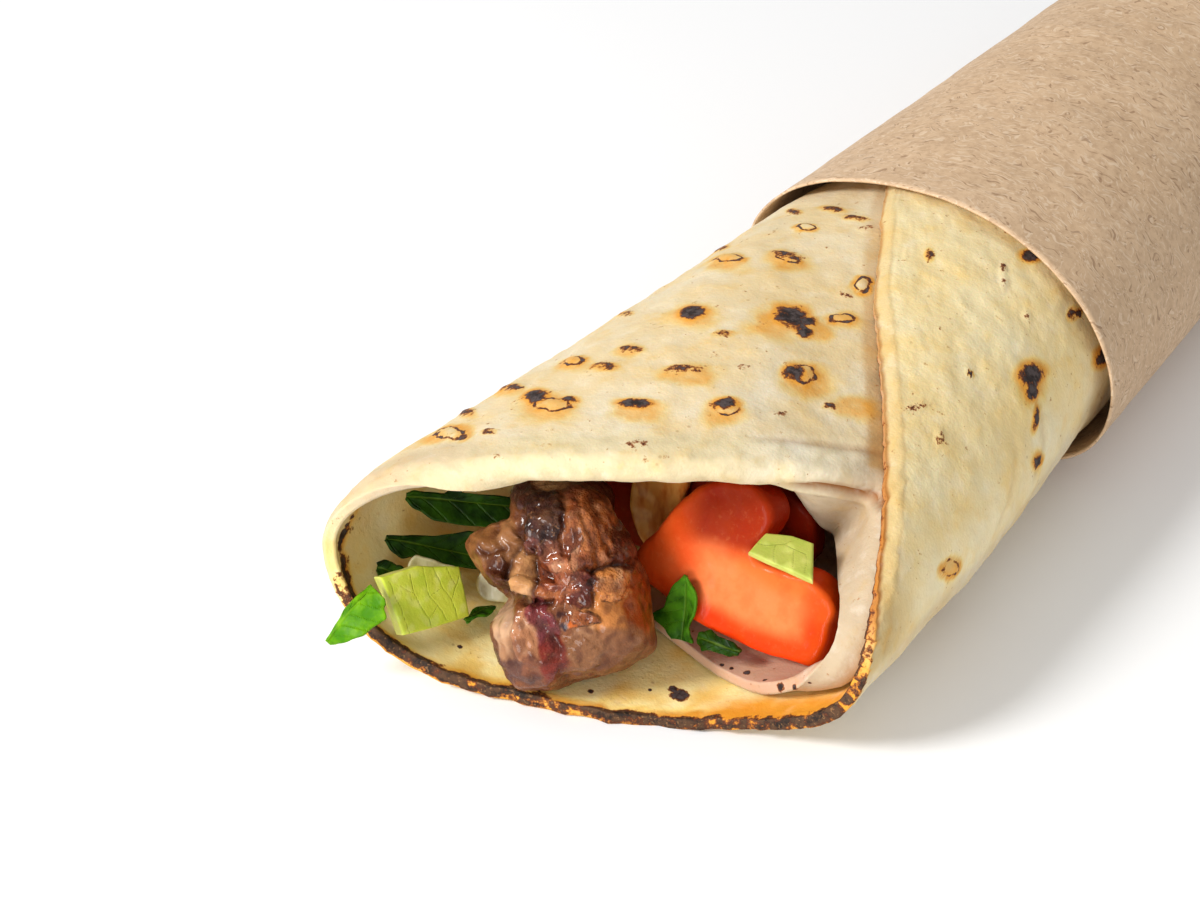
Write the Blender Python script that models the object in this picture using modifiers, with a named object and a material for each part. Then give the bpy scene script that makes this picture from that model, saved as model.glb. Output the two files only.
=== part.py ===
"""Liver durum wrap: a charred flatbread rolled round grilled liver, tomato and greens, in a kraft paper sleeve.

The roll lies on its back along Y. Its open mouth faces -Y and the closed end of the sleeve faces +Y.
The origin is under the middle of the bounding box. Lengths at the top are in millimetres.
"""

import math

import bmesh
import bpy
from mathutils import Matrix, Vector, noise

MM = 0.001

# The roll: half width, height and middle of its section at the mouth, at the sleeve's edge and near its end
STATION = 95.0
HALF_WIDTH = (39.8, 32.9, 27.2)
HEIGHT = (38.6, 42.0, 43.6)
MIDDLE = (0.0, 8.7, 12.4)
WIDEST = 0.45
ROUND_ABOVE = 2.0
ROUND_BELOW = 2.4
FLAT_SPOT = 0.6
RIGHT_TUCK = 2.4
PAPER_TUCK = 0.9
MOUTH_TO_ORIGIN = 102.0
SIDE_TO_ORIGIN = -7.4

# The flatbread
BREAD = 1.8
LAYER_GAP = 0.35
BREAD_END = 186.0
HEM_ARC = 3.9
TURN_START = -98.0
TURN_END = 485.0

# The sleeve
PAPER = 0.4
PAPER_STAND_OFF = 1.5
PAPER_FRONT = 85.6
PAPER_TAPER = 190.0
PAPER_HEM = 211.0
PAPER_END = 223.0
PAPER_FLAT_HALF = 40.5
PAPER_FLAT_LEVEL = 13.0
PAPER_FLAT_GAP = 0.8


def clear_scene():
    for obj in list(bpy.data.objects):
        bpy.data.objects.remove(obj, do_unlink=True)


def material(name, colour, roughness, coat=0.0):
    mat = bpy.data.materials.new(name)
    mat.use_nodes = True
    shader = mat.node_tree.nodes["Principled BSDF"]
    shader.inputs["Base Color"].default_value = (*colour, 1.0)
    shader.inputs["Roughness"].default_value = roughness
    shader.inputs["Metallic"].default_value = 0.0
    shader.inputs["Coat Weight"].default_value = coat
    return mat


def smoothstep(low, high, value):
    part = min(max((value - low) / (high - low), 0.0), 1.0)
    return part * part * (3.0 - 2.0 * part)


def table(points, value):
    """Value at a place, on straight lines between (place, value) pairs in rising order of place."""
    if value <= points[0][0]:
        return points[0][1]
    for (x0, y0), (x1, y1) in zip(points, points[1:]):
        if value <= x1:
            return y0 + (y1 - y0) * (value - x0) / (x1 - x0)
    return points[-1][1]


def eased(points, value, reach=5.0):
    """The same with its corners rounded over the reach."""
    return (table(points, value - reach) + 2.0 * table(points, value) + table(points, value + reach)) / 4.0


def along(stations, y):
    """Quadratic through the three stations, constant in front of the first."""
    t = max(y, 0.0) / STATION
    first, second, third = stations
    return first + (second - first) * t + (third - 2.0 * second + first) * t * (t - 1.0) / 2.0


def power(value, exponent):
    return math.copysign(abs(value) ** exponent, value)


def lift(y):
    """The bread rises off the table where the sleeve's wall runs under it."""
    return 1.0 * smoothstep(52.0, 84.0, y)


def section(phi, y, inset, grow=0.0, bottom=None, tuck=RIGHT_TUCK):
    """Point of the roll's section at the angle phi (degrees, 0 right, 90 top), inset from the outer skin.
    Its right side is tucked in towards the sleeve."""
    base = lift(y) if bottom is None else bottom
    half = along(HALF_WIDTH, y) + grow - inset
    half -= tuck * smoothstep(40.0, 86.0, y) * max(math.cos(math.radians(phi)), 0.0)
    height = along(HEIGHT, y) + grow - base - 2.0 * inset + FLAT_SPOT
    c = math.cos(math.radians(phi))
    s = math.sin(math.radians(phi))
    exponent = ROUND_ABOVE if s > 0 else ROUND_BELOW
    x = half * power(c, 2.0 / exponent)
    level = WIDEST * height
    z = level + (height - level if s > 0 else level) * power(s, 2.0 / exponent)
    z = max(z - FLAT_SPOT, 0.0)
    return along(MIDDLE, y) + x, base + inset + z


def inward(phi, y, inset):
    x0, z0 = section(phi - 2.0, y, inset)
    x1, z1 = section(phi + 2.0, y, inset)
    length = math.hypot(x1 - x0, z1 - z0)
    return -(z1 - z0) / length, (x1 - x0) / length


def placed(x, y, z):
    """From the roll's own frame, with y = 0 at the mouth, to the part's frame in metres."""
    return Vector((x + SIDE_TO_ORIGIN, y - MOUTH_TO_ORIGIN, z)) * MM


def bread_edge(phi):
    """How far along the roll its edge lies: first the inner turn's hem, then the outer turn's raw rim and seam."""
    inner = (
        (-98, 18), (-88, 14.5), (-75, 11.5), (-55, 9), (-30, 8.5), (-10, 10), (5, 13), (20, 19),
        (40, 31), (50, 27), (60, 21.5), (72, 14.5), (82, 9), (92, 5), (105, 0.5), (120, -5),
        (134, -7), (150, -9.5), (165, -11), (180, -11.5),
    )
    outer = (
        (165, -11), (180, -11.5), (195, -11.5), (225, -12.5), (240, -11.8), (255, -9.6), (270, -6),
        (285, -0.5),
        (300, 3.6), (315, 5.2), (345, 6.2), (353, 7.4), (369, 10.7), (379, 14.6), (387, 19.4),
        (395, 24.6), (400, 28), (414, 38.3), (426, 47.7), (440, 58.8), (450, 70), (464, 84),
        (485, 106),
    )
    return eased(inner, phi) if phi < 172 else eased(outer, phi)


def seam_angle(y):
    """Where the outer turn's edge crosses the top of the roll."""
    return eased(((7, -7), (19, 27), (28, 40), (48, 66), (70, 90), (90, 110), (106, 125)), y)


def bread_inset(phi, y):
    """Depth of the bread's middle below the outer skin: a full turn lies inside the seam."""
    under = BREAD + LAYER_GAP
    end = seam_angle(y) if y > 7 else -7.0
    end = max(end, 30.0)
    return BREAD / 2.0 + under * (1.0 - smoothstep(end + 4.0, end + 50.0, phi))


def hem_width(phi):
    """How much of the folded edge lies behind its bend."""
    widths = (
        (-30, 2.2), (-8, 1.2), (1, 1.2), (10, 2.6), (19, 5.6), (28, 9.4), (37, 12.6), (46, 12.8), (54, 10.5),
        (62, 8.5), (72, 7), (98, 6),
        (105, 3.5), (111, 1.2), (117, 0.3), (150, 0.2), (172, 0.4), (190, 1.4),
    )
    return table(widths, phi)


def hem_turn(phi):
    """Degrees that the bread turns at its edge: raw edge 0, folded flat nearly 180, curled in at the left."""
    turns = (
        (-60, 0), (-40, 35), (-20, 85), (0, 112), (25, 112), (40, 102), (48, 106), (56, 122), (64, 148),
        (72, 168), (80, 171), (104, 171), (110, 155), (117, 112), (125, 66), (133, 40), (142, 30), (158, 28),
        (168, 36), (180, 42), (190, 38), (215, 35), (240, 22), (262, 8), (285, 0),
    )
    return table(turns, phi)


def bread_column(phi, rows):
    """Points of the sheet at one angle, from its free edge round the hem and along the roll."""
    turn = math.radians(hem_turn(phi))
    flap = hem_width(phi)
    steps = 40
    out = back = 0.0
    path = [(0.0, 0.0)]
    for i in range(steps):
        heading = turn * (i + 0.5) / steps
        out += math.cos(heading) * HEM_ARC / steps
        back += math.sin(heading) * HEM_ARC / steps
        path.append((out, back))
    furthest = max(p[0] for p in path)
    tip = (out + math.cos(turn) * flap, back + math.sin(turn) * flap)
    start = bread_edge(phi) + max(furthest, tip[0])
    flap_rows = 3
    bend_rows = 5
    points = []
    for row in range(rows):
        if row < flap_rows:
            part = row / flap_rows
            ahead = tip[0] + (out - tip[0]) * part
            deep = tip[1] + (back - tip[1]) * part
        elif row < flap_rows + bend_rows:
            ahead, deep = path[steps - (row - flap_rows) * steps // bend_rows]
        else:
            ahead = deep = 0.0
        y = start - ahead
        if row > flap_rows + bend_rows:
            part = (row - flap_rows - bend_rows) / (rows - 1 - flap_rows - bend_rows)
            y = start + (BREAD_END - start) * part ** 1.15
        inset = bread_inset(phi, y)
        x, z = section(phi, y, inset)
        nx, nz = inward(phi, y, inset)
        points.append(placed(x + nx * deep, y, z + nz * deep))
    return points


def sheet(name, columns, rows, position, thickness, mat, wrap=False, offset=0.0):
    """A thin solid: a grid laid out by position(column, row), split into triangles and given thickness."""
    bm = bmesh.new()
    bmesh.ops.create_grid(bm, x_segments=columns - 1, y_segments=rows - 1, size=1.0)
    bm.verts.ensure_lookup_table()
    for vert in bm.verts:
        column = round((vert.co.x + 1.0) / 2.0 * (columns - 1))
        row = round((vert.co.y + 1.0) / 2.0 * (rows - 1))
        vert.co = position(column, row)
    if wrap:
        bmesh.ops.remove_doubles(bm, verts=bm.verts, dist=0.00001)
    bmesh.ops.triangulate(bm, faces=bm.faces)
    bm.normal_update()
    bmesh.ops.recalc_face_normals(bm, faces=bm.faces)
    obj = finish(name, bm, mat)
    solidify = obj.modifiers.new("Solidify", "SOLIDIFY")
    solidify.thickness = thickness * MM
    solidify.offset = offset
    solidify.use_even_offset = True
    return obj


def finish(name, bm, mat):
    mesh = bpy.data.meshes.new(name)
    bm.to_mesh(mesh)
    bm.free()
    mesh.materials.append(mat)
    mesh.shade_smooth()
    obj = bpy.data.objects.new(name, mesh)
    bpy.data.collections["liver_durum_wrap"].objects.link(obj)
    return obj


def make_flatbread():
    columns = 66
    rows = 19
    layout = []
    for column in range(columns):
        phi = TURN_START + (TURN_END - TURN_START) * column / (columns - 1)
        layout.append(bread_column(phi, rows))
    mat = material("baked_bread", (0.80, 0.68, 0.45), 0.8)
    return sheet("flatbread", columns, rows, lambda c, r: layout[c][r], BREAD, mat)


def paper_point(phi, y):
    """The sleeve is a snug tube that flattens at its far end."""
    x, z = section(phi, min(y, PAPER_TAPER), 0.0, PAPER_STAND_OFF, PAPER / 2.0, PAPER_TUCK)
    slack = 0.35 * math.sin(math.radians(3.0 * phi) + y / 19.0) * smoothstep(-90.0, 0.0, -abs(phi - 90.0) + 90.0)
    c = math.cos(math.radians(phi))
    s = math.sin(math.radians(phi))
    flat = smoothstep(PAPER_TAPER, PAPER_HEM, y)
    middle = along(MIDDLE, PAPER_TAPER)
    wide = middle + PAPER_FLAT_HALF * (1.0 - 2.0 * abs(math.degrees(math.atan2(abs(s), c))) / 180.0)
    level = PAPER_FLAT_LEVEL + PAPER_FLAT_GAP * power(s, 0.3)
    front = -0.10 * (x - along(MIDDLE, y)) * (1.0 - smoothstep(PAPER_FRONT, PAPER_FRONT + 30.0, y))
    x = x + (wide - x) * flat
    z = max(z + slack * (1.0 - flat), PAPER / 2.0)
    z = z + (level - z) * flat
    return placed(x, y + front, z)


def make_paper_sleeve():
    around = 48
    places = (PAPER_FRONT, 97.0, 112.0, 130.0, 150.0, 170.0, 188.0, 194.0, 200.0, 206.0, PAPER_HEM, PAPER_END)
    mat = material("kraft_paper", (0.55, 0.40, 0.26), 0.75)
    return sheet("paper_sleeve", around + 1, len(places),
                 lambda c, r: paper_point(360.0 * (c % around) / around, places[r]), PAPER, mat, wrap=True)


def ball(name, segments, rings, shape, mat):
    """A closed lump: a sphere whose points move to shape(direction)."""
    bm = bmesh.new()
    bmesh.ops.create_uvsphere(bm, u_segments=segments, v_segments=rings, radius=1.0)
    for vert in bm.verts:
        vert.co = shape(vert.co.copy())
    bm.normal_update()
    bmesh.ops.recalc_face_normals(bm, faces=bm.faces)
    return finish(name, bm, mat)


def core_point(direction):
    """The packed filling fills the roll from wall to wall, with a lumpy front."""
    front = 41.0
    back = BREAD_END - 4.0
    phi = math.degrees(math.atan2(direction.y, direction.x))
    lean = max(min(direction.z, 1.0), -1.0)
    reach = (1.0 - abs(lean) ** 5.0) ** 0.35
    y = (front + back) / 2.0 - (back - front) / 2.0 * power(lean, 0.6)
    inset = 5.4 + 0.5 * math.sin(math.radians(5.0 * phi) + y / 7.0)
    x, z = section(phi, y, inset)
    middle = along(MIDDLE, y)
    level = lift(y) + along(HEIGHT, y) * WIDEST
    spot = Vector((middle + (x - middle) * reach, y, level + (z - level) * reach))
    spot.y += 2.5 * noise.noise(spot * 0.11) * (1.0 if y < 70.0 else 0.0)
    return placed(*spot)


def make_filling_core():
    mat = material("chopped_filling", (0.28, 0.14, 0.06), 0.5, 0.2)
    return ball("filling_core", 26, 18, core_point, mat)


def make_lump(name, centre, radii, spin, bumps, mat, segments=26, rings=18, floor=None):
    """An uneven lump of cooked liver: an ellipsoid with swellings (direction, height, spread) and fine unevenness."""
    turn = Matrix.Rotation(math.radians(spin), 3, "Z")

    def shape(direction):
        swell = 1.0
        for toward, height, spread in bumps:
            apart = (direction - Vector(toward).normalized()).length
            swell += height * math.exp(-((apart / spread) ** 2))
        swell += 0.05 * noise.noise(direction * 2.3 + Vector(centre))
        spot = turn @ Vector([direction[i] * radii[i] * swell for i in range(3)]) + Vector(centre)
        if floor is not None:
            spot.z = max(spot.z, floor)
        return placed(*spot)

    return ball(name, segments, rings, shape, mat)


def liver_point(direction):
    """The chunk stands in the mouth: an uneven outline, wide at its foot, with a lobe out to the left."""
    outline = (
        (-180, 10.8), (-163, 8.6), (-153, 11.9), (-143, 13.7), (-130, 15.3), (-117, 16.6), (-102, 16.0),
        (-83, 14.0), (-60, 14.5), (-38, 15.6), (-20, 12.6), (-5, 11.6), (18, 10.6), (54, 11.2), (66, 13.2),
        (84, 14.8), (106, 15.6), (120, 15.6), (132, 12.3), (146, 14.4), (157, 16.1), (170, 13.4), (180, 10.8),
    )
    angle = math.degrees(math.atan2(direction.y, direction.x))
    reach = table(outline, angle) * math.hypot(direction.x, direction.y) ** 0.8
    high = 10.0 * power(direction.z, 0.9)
    high *= 0.62 if 140 < angle < 172 else 1.0
    high += 1.3 * noise.noise(direction * 2.1 + Vector((3.0, 1.0, 7.0)))
    across = Vector((reach * math.cos(math.radians(angle)), reach * math.sin(math.radians(angle)), high))
    spot = axes((0.84, 0.55, 0.0), (-0.32, 0.49, 0.81)) @ across + Vector((-6.0, 4.0, 15.0))
    spot.z = max(spot.z, 2.5)
    return placed(*spot)


def make_liver():
    mat = material("grilled_liver", (0.30, 0.12, 0.07), 0.35, 0.4)
    ball("liver_main", 34, 18, liver_point, mat)
    back = material("grilled_liver_back", (0.28, 0.12, 0.08), 0.4, 0.3)
    dents = (((-0.6, -0.8, 0.4), 0.2, 0.5), ((0.8, -0.4, 0.2), -0.15, 0.5))
    make_lump("liver_back", (-14.6, 20.8, 15.2), (5.0, 3.4, 4.6), 20.0, dents, back, 18, 12)


def axes(right, up_hint):
    """Turning matrix with its X along right, its Y near up_hint and its Z across both."""
    u = Vector(right).normalized()
    n = u.cross(Vector(up_hint)).normalized()
    v = n.cross(u)
    return Matrix((u, v, n)).transposed()


def slab(name, outline, thickness, edge, centre, right, up_hint, mat, handles="AUTO"):
    """A cut piece: a closed outline (mm, in its own plane) extruded, with a rounded edge. Its handles make the
    outline smooth or straight-sided."""
    curve = bpy.data.curves.new(name + "_outline", "CURVE")
    curve.dimensions = "2D"
    curve.fill_mode = "BOTH"
    curve.resolution_u = 3
    spline = curve.splines.new("BEZIER")
    spline.bezier_points.add(len(outline) - 1)
    for point, (x, y) in zip(spline.bezier_points, outline):
        point.co = (x * MM, y * MM, 0.0)
        point.handle_left_type = handles
        point.handle_right_type = handles
    spline.use_cyclic_u = True
    curve.extrude = (thickness / 2.0 - edge) * MM
    curve.bevel_depth = edge * MM
    curve.bevel_resolution = 1
    curve.offset = -edge * MM
    drawn = bpy.data.objects.new(name + "_drawn", curve)
    bpy.context.scene.collection.objects.link(drawn)
    bpy.context.view_layer.update()
    graph = bpy.context.evaluated_depsgraph_get()
    mesh = bpy.data.meshes.new_from_object(drawn.evaluated_get(graph))
    bpy.data.objects.remove(drawn, do_unlink=True)
    bm = bmesh.new()
    bm.from_mesh(mesh)
    bmesh.ops.remove_doubles(bm, verts=bm.verts, dist=0.00001)
    turn = axes(right, up_hint)
    for vert in bm.verts:
        vert.co = placed(*(turn @ (vert.co / MM) + Vector(centre)))
    bm.normal_update()
    bmesh.ops.recalc_face_normals(bm, faces=bm.faces)
    bpy.data.meshes.remove(mesh)
    return finish(name, bm, mat)


def make_tomato():
    flesh = material("tomato_flesh", (0.70, 0.12, 0.04), 0.3, 0.4)
    wedge = (
        (-17.2, -0.8), (-14.8, -3.0), (-10.8, -4.9), (-5.6, -6.7), (2, -7.8), (9.6, -7.5), (11.5, -6.6),
        (13.0, -4.6), (14.3, -1.4), (14.4, 1.8), (12.0, 4.2), (10.4, 4.0), (5.9, 5), (1.0, 6.2), (2.4, 9),
        (2.8, 12), (0.6, 14.8), (-3.4, 15.8), (-8.4, 14.0), (-12, 9.8), (-15, 4.6),
    )
    slab("tomato_front", wedge, 7.0, 1.1, (15.6, 18.5, 14.1), (1.0, 0.06, 0.03), (0.0, 0.4, 1.0), flesh)
    back = material("tomato_back_flesh", (0.45, 0.05, 0.03), 0.35, 0.3)
    block = ((-5, -6), (0, -7), (4, -5.5), (4.4, 0), (3.6, 3.2), (-1.2, 6.0), (-5, 6.6))
    slab("tomato_back", block, 5.0, 1.0, (14.0, 33.4, 15.6), (1.0, 0.1, 0.0), (0.0, 0.1, 1.0), back)
    left = material("tomato_left_flesh", (0.42, 0.05, 0.03), 0.35, 0.3)
    wall = ((-8, -7.6), (0, -8.4), (7, -7), (7.5, 2), (5.4, 8.4), (-2, 8.8), (-8, 7))
    slab("tomato_left", wall, 4.0, 0.9, (-5.0, 30.2, 13.6), (1.0, 0.1, 0.0), (0.0, 0.1, 1.0), left)


def make_onion():
    strip = material("onion_strip", (0.62, 0.45, 0.22), 0.3, 0.3)
    long_piece = ((-2.7, -7), (0, -7.6), (2.4, -7), (2.7, 0), (3.2, 8), (0, 8.8), (-3.2, 7.6))
    slab("onion_strip", long_piece, 1.8, 0.5, (-3.6, 25.7, 15.8), (1.0, 0.1, 0.0), (0.0, 0.1, 1.0), strip)
    pale = material("onion_pale", (0.72, 0.72, 0.55), 0.3, 0.3)
    chunk = ((-3.4, -1.1), (0, -1.8), (3.4, -1.4), (3.6, 0.4), (1.0, 1.7), (-1.4, 2.6), (-3.2, 2.9))
    slab("onion_left", chunk, 1.0, 0.3, (-26.9, 0.1, 10.0), (0.8, 0.6, 0.0), (-0.2, 0.4, 1.0), pale)
    bit = ((-3.2, -2.0), (0, -2.6), (2.8, -2.2), (2.8, 0.4), (0.2, 2.6), (-3.2, 2.0))
    slab("onion_low", bit, 2.2, 0.5, (-20.0, 7.2, 6.3), (0.85, 0.5, -0.1), (-0.2, 0.5, 1.0), pale.copy())
    arc = ((-9, -1.4), (-3, -1.8), (3, -1.6), (9, -1.9), (9.4, 0.9), (3, 1.6), (-3, 1.4), (-9.4, 0.8))
    slab("onion_top", arc, 1.4, 0.4, (-21.2, 16.6, 22.4), (0.8, 0.55, 0.0), (-0.2, 0.5, 1.0), pale.copy())


def make_lettuce():
    mat = material("lettuce_block_green", (0.55, 0.62, 0.15), 0.45, 0.1)
    face = ((-6.2, 4.5), (-5.3, 0.2), (-4.6, -4.6), (1.0, -4.7), (6.6, -4.5), (6.6, 3.0), (0.0, 4.7))
    slab("lettuce_left", face, 2.8, 0.4, (-25.2, -5.9, 10.5), (0.42, 0.9, -0.12), (-0.5, 0.1, 0.8), mat,
         "VECTOR")
    flat = ((-4.6, -3.4), (0.6, -3.3), (6.0, -3.2), (2.6, 2.8), (-0.7, 2.4), (-4.2, 0.9))
    slab("lettuce_right", flat, 1.2, 0.4, (21.9, 17.6, 23.9), (1.0, 0.0, -0.08), (0.0, 1.0, 0.24), mat.copy(),
         "VECTOR")
    edge = ((-5.2, -5), (0.0, -6), (4.6, -5.0), (5.2, 1.2), (2.0, 5.4), (-4.4, 6.0))
    slab("lettuce_back", edge, 0.9, 0.3, (10.8, 38.2, 17.6), (1.0, 0.1, 0.0), (0.0, 0.1, 1.0), mat.copy())


def leaf(name, base, tip, up_hint, upper, lower, mat, bow=0.4, cup=0.4, columns=11, rows=5):
    """A parsley leaf: a thin wavy blade from its stalk to its tip, with a half width on each side read along it."""
    start = Vector(base)
    run = Vector(tip) - start
    turn = axes(run, up_hint)

    def position(column, row):
        u = column / (columns - 1)
        v = 2.0 * row / (rows - 1) - 1.0
        width = table(upper if v > 0 else lower, u)
        broad = min(width / 1.8, 1.0)
        high = bow * math.sin(math.pi * u) - cup * v * v * broad
        high += 0.3 * math.sin(9.0 * u + 2.0 * v) * abs(v) * broad
        spot = start + turn @ Vector((u * run.length, v * width, high))
        return placed(*spot)

    return sheet(name, columns, rows, position, 0.5, mat)


def make_parsley():
    dark = material("parsley_dark", (0.05, 0.13, 0.02), 0.5)
    fresh = material("parsley_fresh", (0.16, 0.42, 0.03), 0.45)
    side = (-0.3, 0.5, 0.8)
    top = ((0.0, 0.6), (0.35, 1.4), (0.6, 1.2), (0.66, 2.1), (0.72, 0.7), (0.95, 0.8), (1.0, 0.4))
    under = ((0.0, 0.8), (0.2, 3.0), (0.38, 3.6), (0.56, 3.3), (0.8, 2.9), (0.94, 1.6), (1.0, 0.4))
    leaf("parsley_top", (-17.7, 14.8, 16.4), (-33.9, 2.9, 19.7), side, top, under, dark)
    top = ((0.0, 1.0), (0.2, 3.4), (0.38, 3.7), (0.5, 2.5), (0.62, 1.6), (0.82, 0.9), (1.0, 0.4))
    under = ((0.0, 0.5), (0.14, 0.7), (0.28, 1.9), (0.5, 2.4), (0.78, 1.7), (0.85, 2.6), (0.93, 1.8), (1.0, 0.4))
    leaf("parsley_mid", (-19.5, 8.9, 9.8), (-34.7, -1.4, 14.4), side, top, under, dark.copy(), 0.6)
    strip = ((0.0, 0.9), (0.3, 1.3), (0.85, 1.2), (1.0, 0.4))
    leaf("parsley_small", (-30.0, -3.3, 10.4), (-34.6, -3.9, 10.7), side, strip, strip, dark.copy(), 0.2, 0.2, 7, 3)
    right = ((0.0, 2.5), (0.15, 4.3), (0.31, 4.6), (0.56, 3.7), (0.86, 1.9), (1.0, 0.4))
    left = ((0.0, 0.5), (0.2, 0.6), (0.45, 0.9), (0.75, 0.5), (1.0, 0.4))
    leaf("parsley_tip", (-29.0, -12.0, 14.8), (-32.3, -18.8, 7.8), (0.95, -0.1, -0.3), right, left, fresh, 0.9, 0.05)
    thin = ((0.0, 0.8), (0.5, 1.3), (1.0, 0.4))
    leaf("parsley_under", (-19.8, 4.2, 4.2), (-21.0, -1.0, 4.6), (1.0, 0.0, 0.2), thin, thin, fresh.copy(), 0.2,
         0.2, 7, 3)
    wing = ((0.0, 1.4), (0.08, 2.6), (0.2, 5.0), (0.28, 5.4), (0.4, 3.8), (0.54, 2.9), (0.86, 1.7), (1.0, 0.4))
    plain = ((0.0, 1.8), (0.21, 0.9), (0.44, 1.9), (0.7, 1.7), (0.85, 1.3), (1.0, 0.4))
    leaf("parsley_right", (9.2, 10.6, 6.7), (8.1, 13.2, 16.3), (-1.0, 0.0, -0.2), wing, plain, fresh.copy(), -0.4,
         -0.4)
    jagged = ((0.0, 0.6), (0.2, 1.5), (0.5, 1.1), (0.8, 0.9), (1.0, 0.4))
    leaf("parsley_low", (11.6, 11.0, 8.0), (18.7, 10.7, 8.7), (0.0, 0.7, 0.7), jagged, jagged, dark.copy(), 0.2, 0.2)


def main():
    clear_scene()
    collection = bpy.data.collections.new("liver_durum_wrap")
    bpy.context.scene.collection.children.link(collection)
    make_flatbread()
    make_paper_sleeve()
    make_filling_core()
    make_liver()
    make_tomato()
    make_onion()
    make_lettuce()
    make_parsley()


main()
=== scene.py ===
"""Liver durum wrap, dressed: a charred flatbread rolled round grilled liver and salad, in a kraft sleeve."""

import math

import bmesh
import bpy
import numpy as np
from mathutils import Matrix, Vector, noise


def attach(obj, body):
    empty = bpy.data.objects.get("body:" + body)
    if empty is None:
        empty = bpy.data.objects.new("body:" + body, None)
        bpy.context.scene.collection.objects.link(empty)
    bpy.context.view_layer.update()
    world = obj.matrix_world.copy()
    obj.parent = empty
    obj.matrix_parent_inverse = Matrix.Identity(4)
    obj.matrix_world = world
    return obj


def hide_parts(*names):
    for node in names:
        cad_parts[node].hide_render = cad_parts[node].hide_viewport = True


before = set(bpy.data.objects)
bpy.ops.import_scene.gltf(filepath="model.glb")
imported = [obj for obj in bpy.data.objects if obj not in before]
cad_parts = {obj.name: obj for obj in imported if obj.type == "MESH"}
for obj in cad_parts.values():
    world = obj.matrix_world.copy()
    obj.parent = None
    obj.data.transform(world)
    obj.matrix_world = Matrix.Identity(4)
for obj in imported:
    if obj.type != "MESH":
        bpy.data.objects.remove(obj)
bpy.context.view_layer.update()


# ---------------------------------------------------------------------------------------------------------------
# Flatbread. One thin soft sheet of wheat dough, baked on a hot plate, which leaves charred blisters on it.
# It is rolled a turn and a half round the filling, and its edge is folded in along the top of the mouth.
# ---------------------------------------------------------------------------------------------------------------

# Sizes are in millimetres, in the roll's own frame: x = 0 at the middle of the mouth, y = 0 at its front and
# z = 0 on the table. Angles round the roll are in degrees, and go past 360 in the outer turn.
MM = 0.001
MOUTH_TO_ORIGIN = 102.0
SIDE_TO_ORIGIN = -7.4
BREAD = 1.8
LAYER_GAP = 0.35
BREAD_END = 186.0
STATION_GAP = 95.0
WIDEST = 0.45
HEM_ARC = 3.9
TURN_START = -98.0
TURN_END = 485.0


def smoothstep(low, high, value):
    part = min(max((value - low) / (high - low), 0.0), 1.0)
    return part * part * (3.0 - 2.0 * part)


def table(points, value):
    """Value at a place, on straight lines between (place, value) pairs in rising order of place."""
    if value <= points[0][0]:
        return points[0][1]
    for (x0, y0), (x1, y1) in zip(points, points[1:]):
        if value <= x1:
            return y0 + (y1 - y0) * (value - x0) / (x1 - x0)
    return points[-1][1]


def eased(points, value, reach=5.0):
    """The same with its corners rounded over the reach."""
    total = 0.0
    for share, weight in ((-1.0, 1.0), (-0.5, 2.0), (0.0, 2.0), (0.5, 2.0), (1.0, 1.0)):
        total += weight * table(points, value + share * reach)
    return total / 8.0


def along(stations, y):
    """Quadratic through three even stations down the roll, constant in front of the first."""
    t = max(y, 0.0) / STATION_GAP
    first, second, third = stations
    return first + (second - first) * t + (third - 2.0 * second + first) * t * (t - 1.0) / 2.0


def half_width(y):
    return along((39.8, 32.9, 27.2), y)


def height(y):
    return along((38.6, 42.0, 43.6), y)


def middle(y):
    return along((0.0, 8.7, 12.4), y)


def power(value, exponent):
    return math.copysign(abs(value) ** exponent, value)


def lift(y):
    """The bread rises off the table where the sleeve's wall runs under it."""
    return smoothstep(52.0, 84.0, y)


def section(phi, y, inset, grow=0.0, bottom=None, tuck=2.4):
    """Point of the roll's section at the angle phi (degrees, 0 right, 90 top), inset from the outer skin. Its
    underside is worn flat where it lies on the table."""
    base = lift(y) if bottom is None else bottom
    c = math.cos(math.radians(phi))
    s = math.sin(math.radians(phi))
    half = half_width(y) + grow - inset - tuck * smoothstep(40.0, 86.0, y) * max(c, 0.0)
    worn = 0.6
    high = height(y) + grow - base - 2.0 * inset + worn
    exponent = 2.0 if s > 0 else 2.4
    level = WIDEST * high
    z = level + (high - level if s > 0 else level) * power(s, 2.0 / exponent)
    return middle(y) + half * power(c, 2.0 / exponent), base + inset + max(z - worn, 0.0)


def inward(phi, y, inset):
    """Direction from the skin to the inside of the section."""
    x0, z0 = section(phi - 2.0, y, inset)
    x1, z1 = section(phi + 2.0, y, inset)
    length = math.hypot(x1 - x0, z1 - z0)
    return -(z1 - z0) / length, (x1 - x0) / length


TO_PART = np.array((SIDE_TO_ORIGIN, -MOUTH_TO_ORIGIN, 0.0))


def placed(x, y, z):
    """From the roll's own frame, with y = 0 at the mouth, to the part's frame in metres."""
    return Vector((x + SIDE_TO_ORIGIN, y - MOUTH_TO_ORIGIN, z)) * MM


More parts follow.
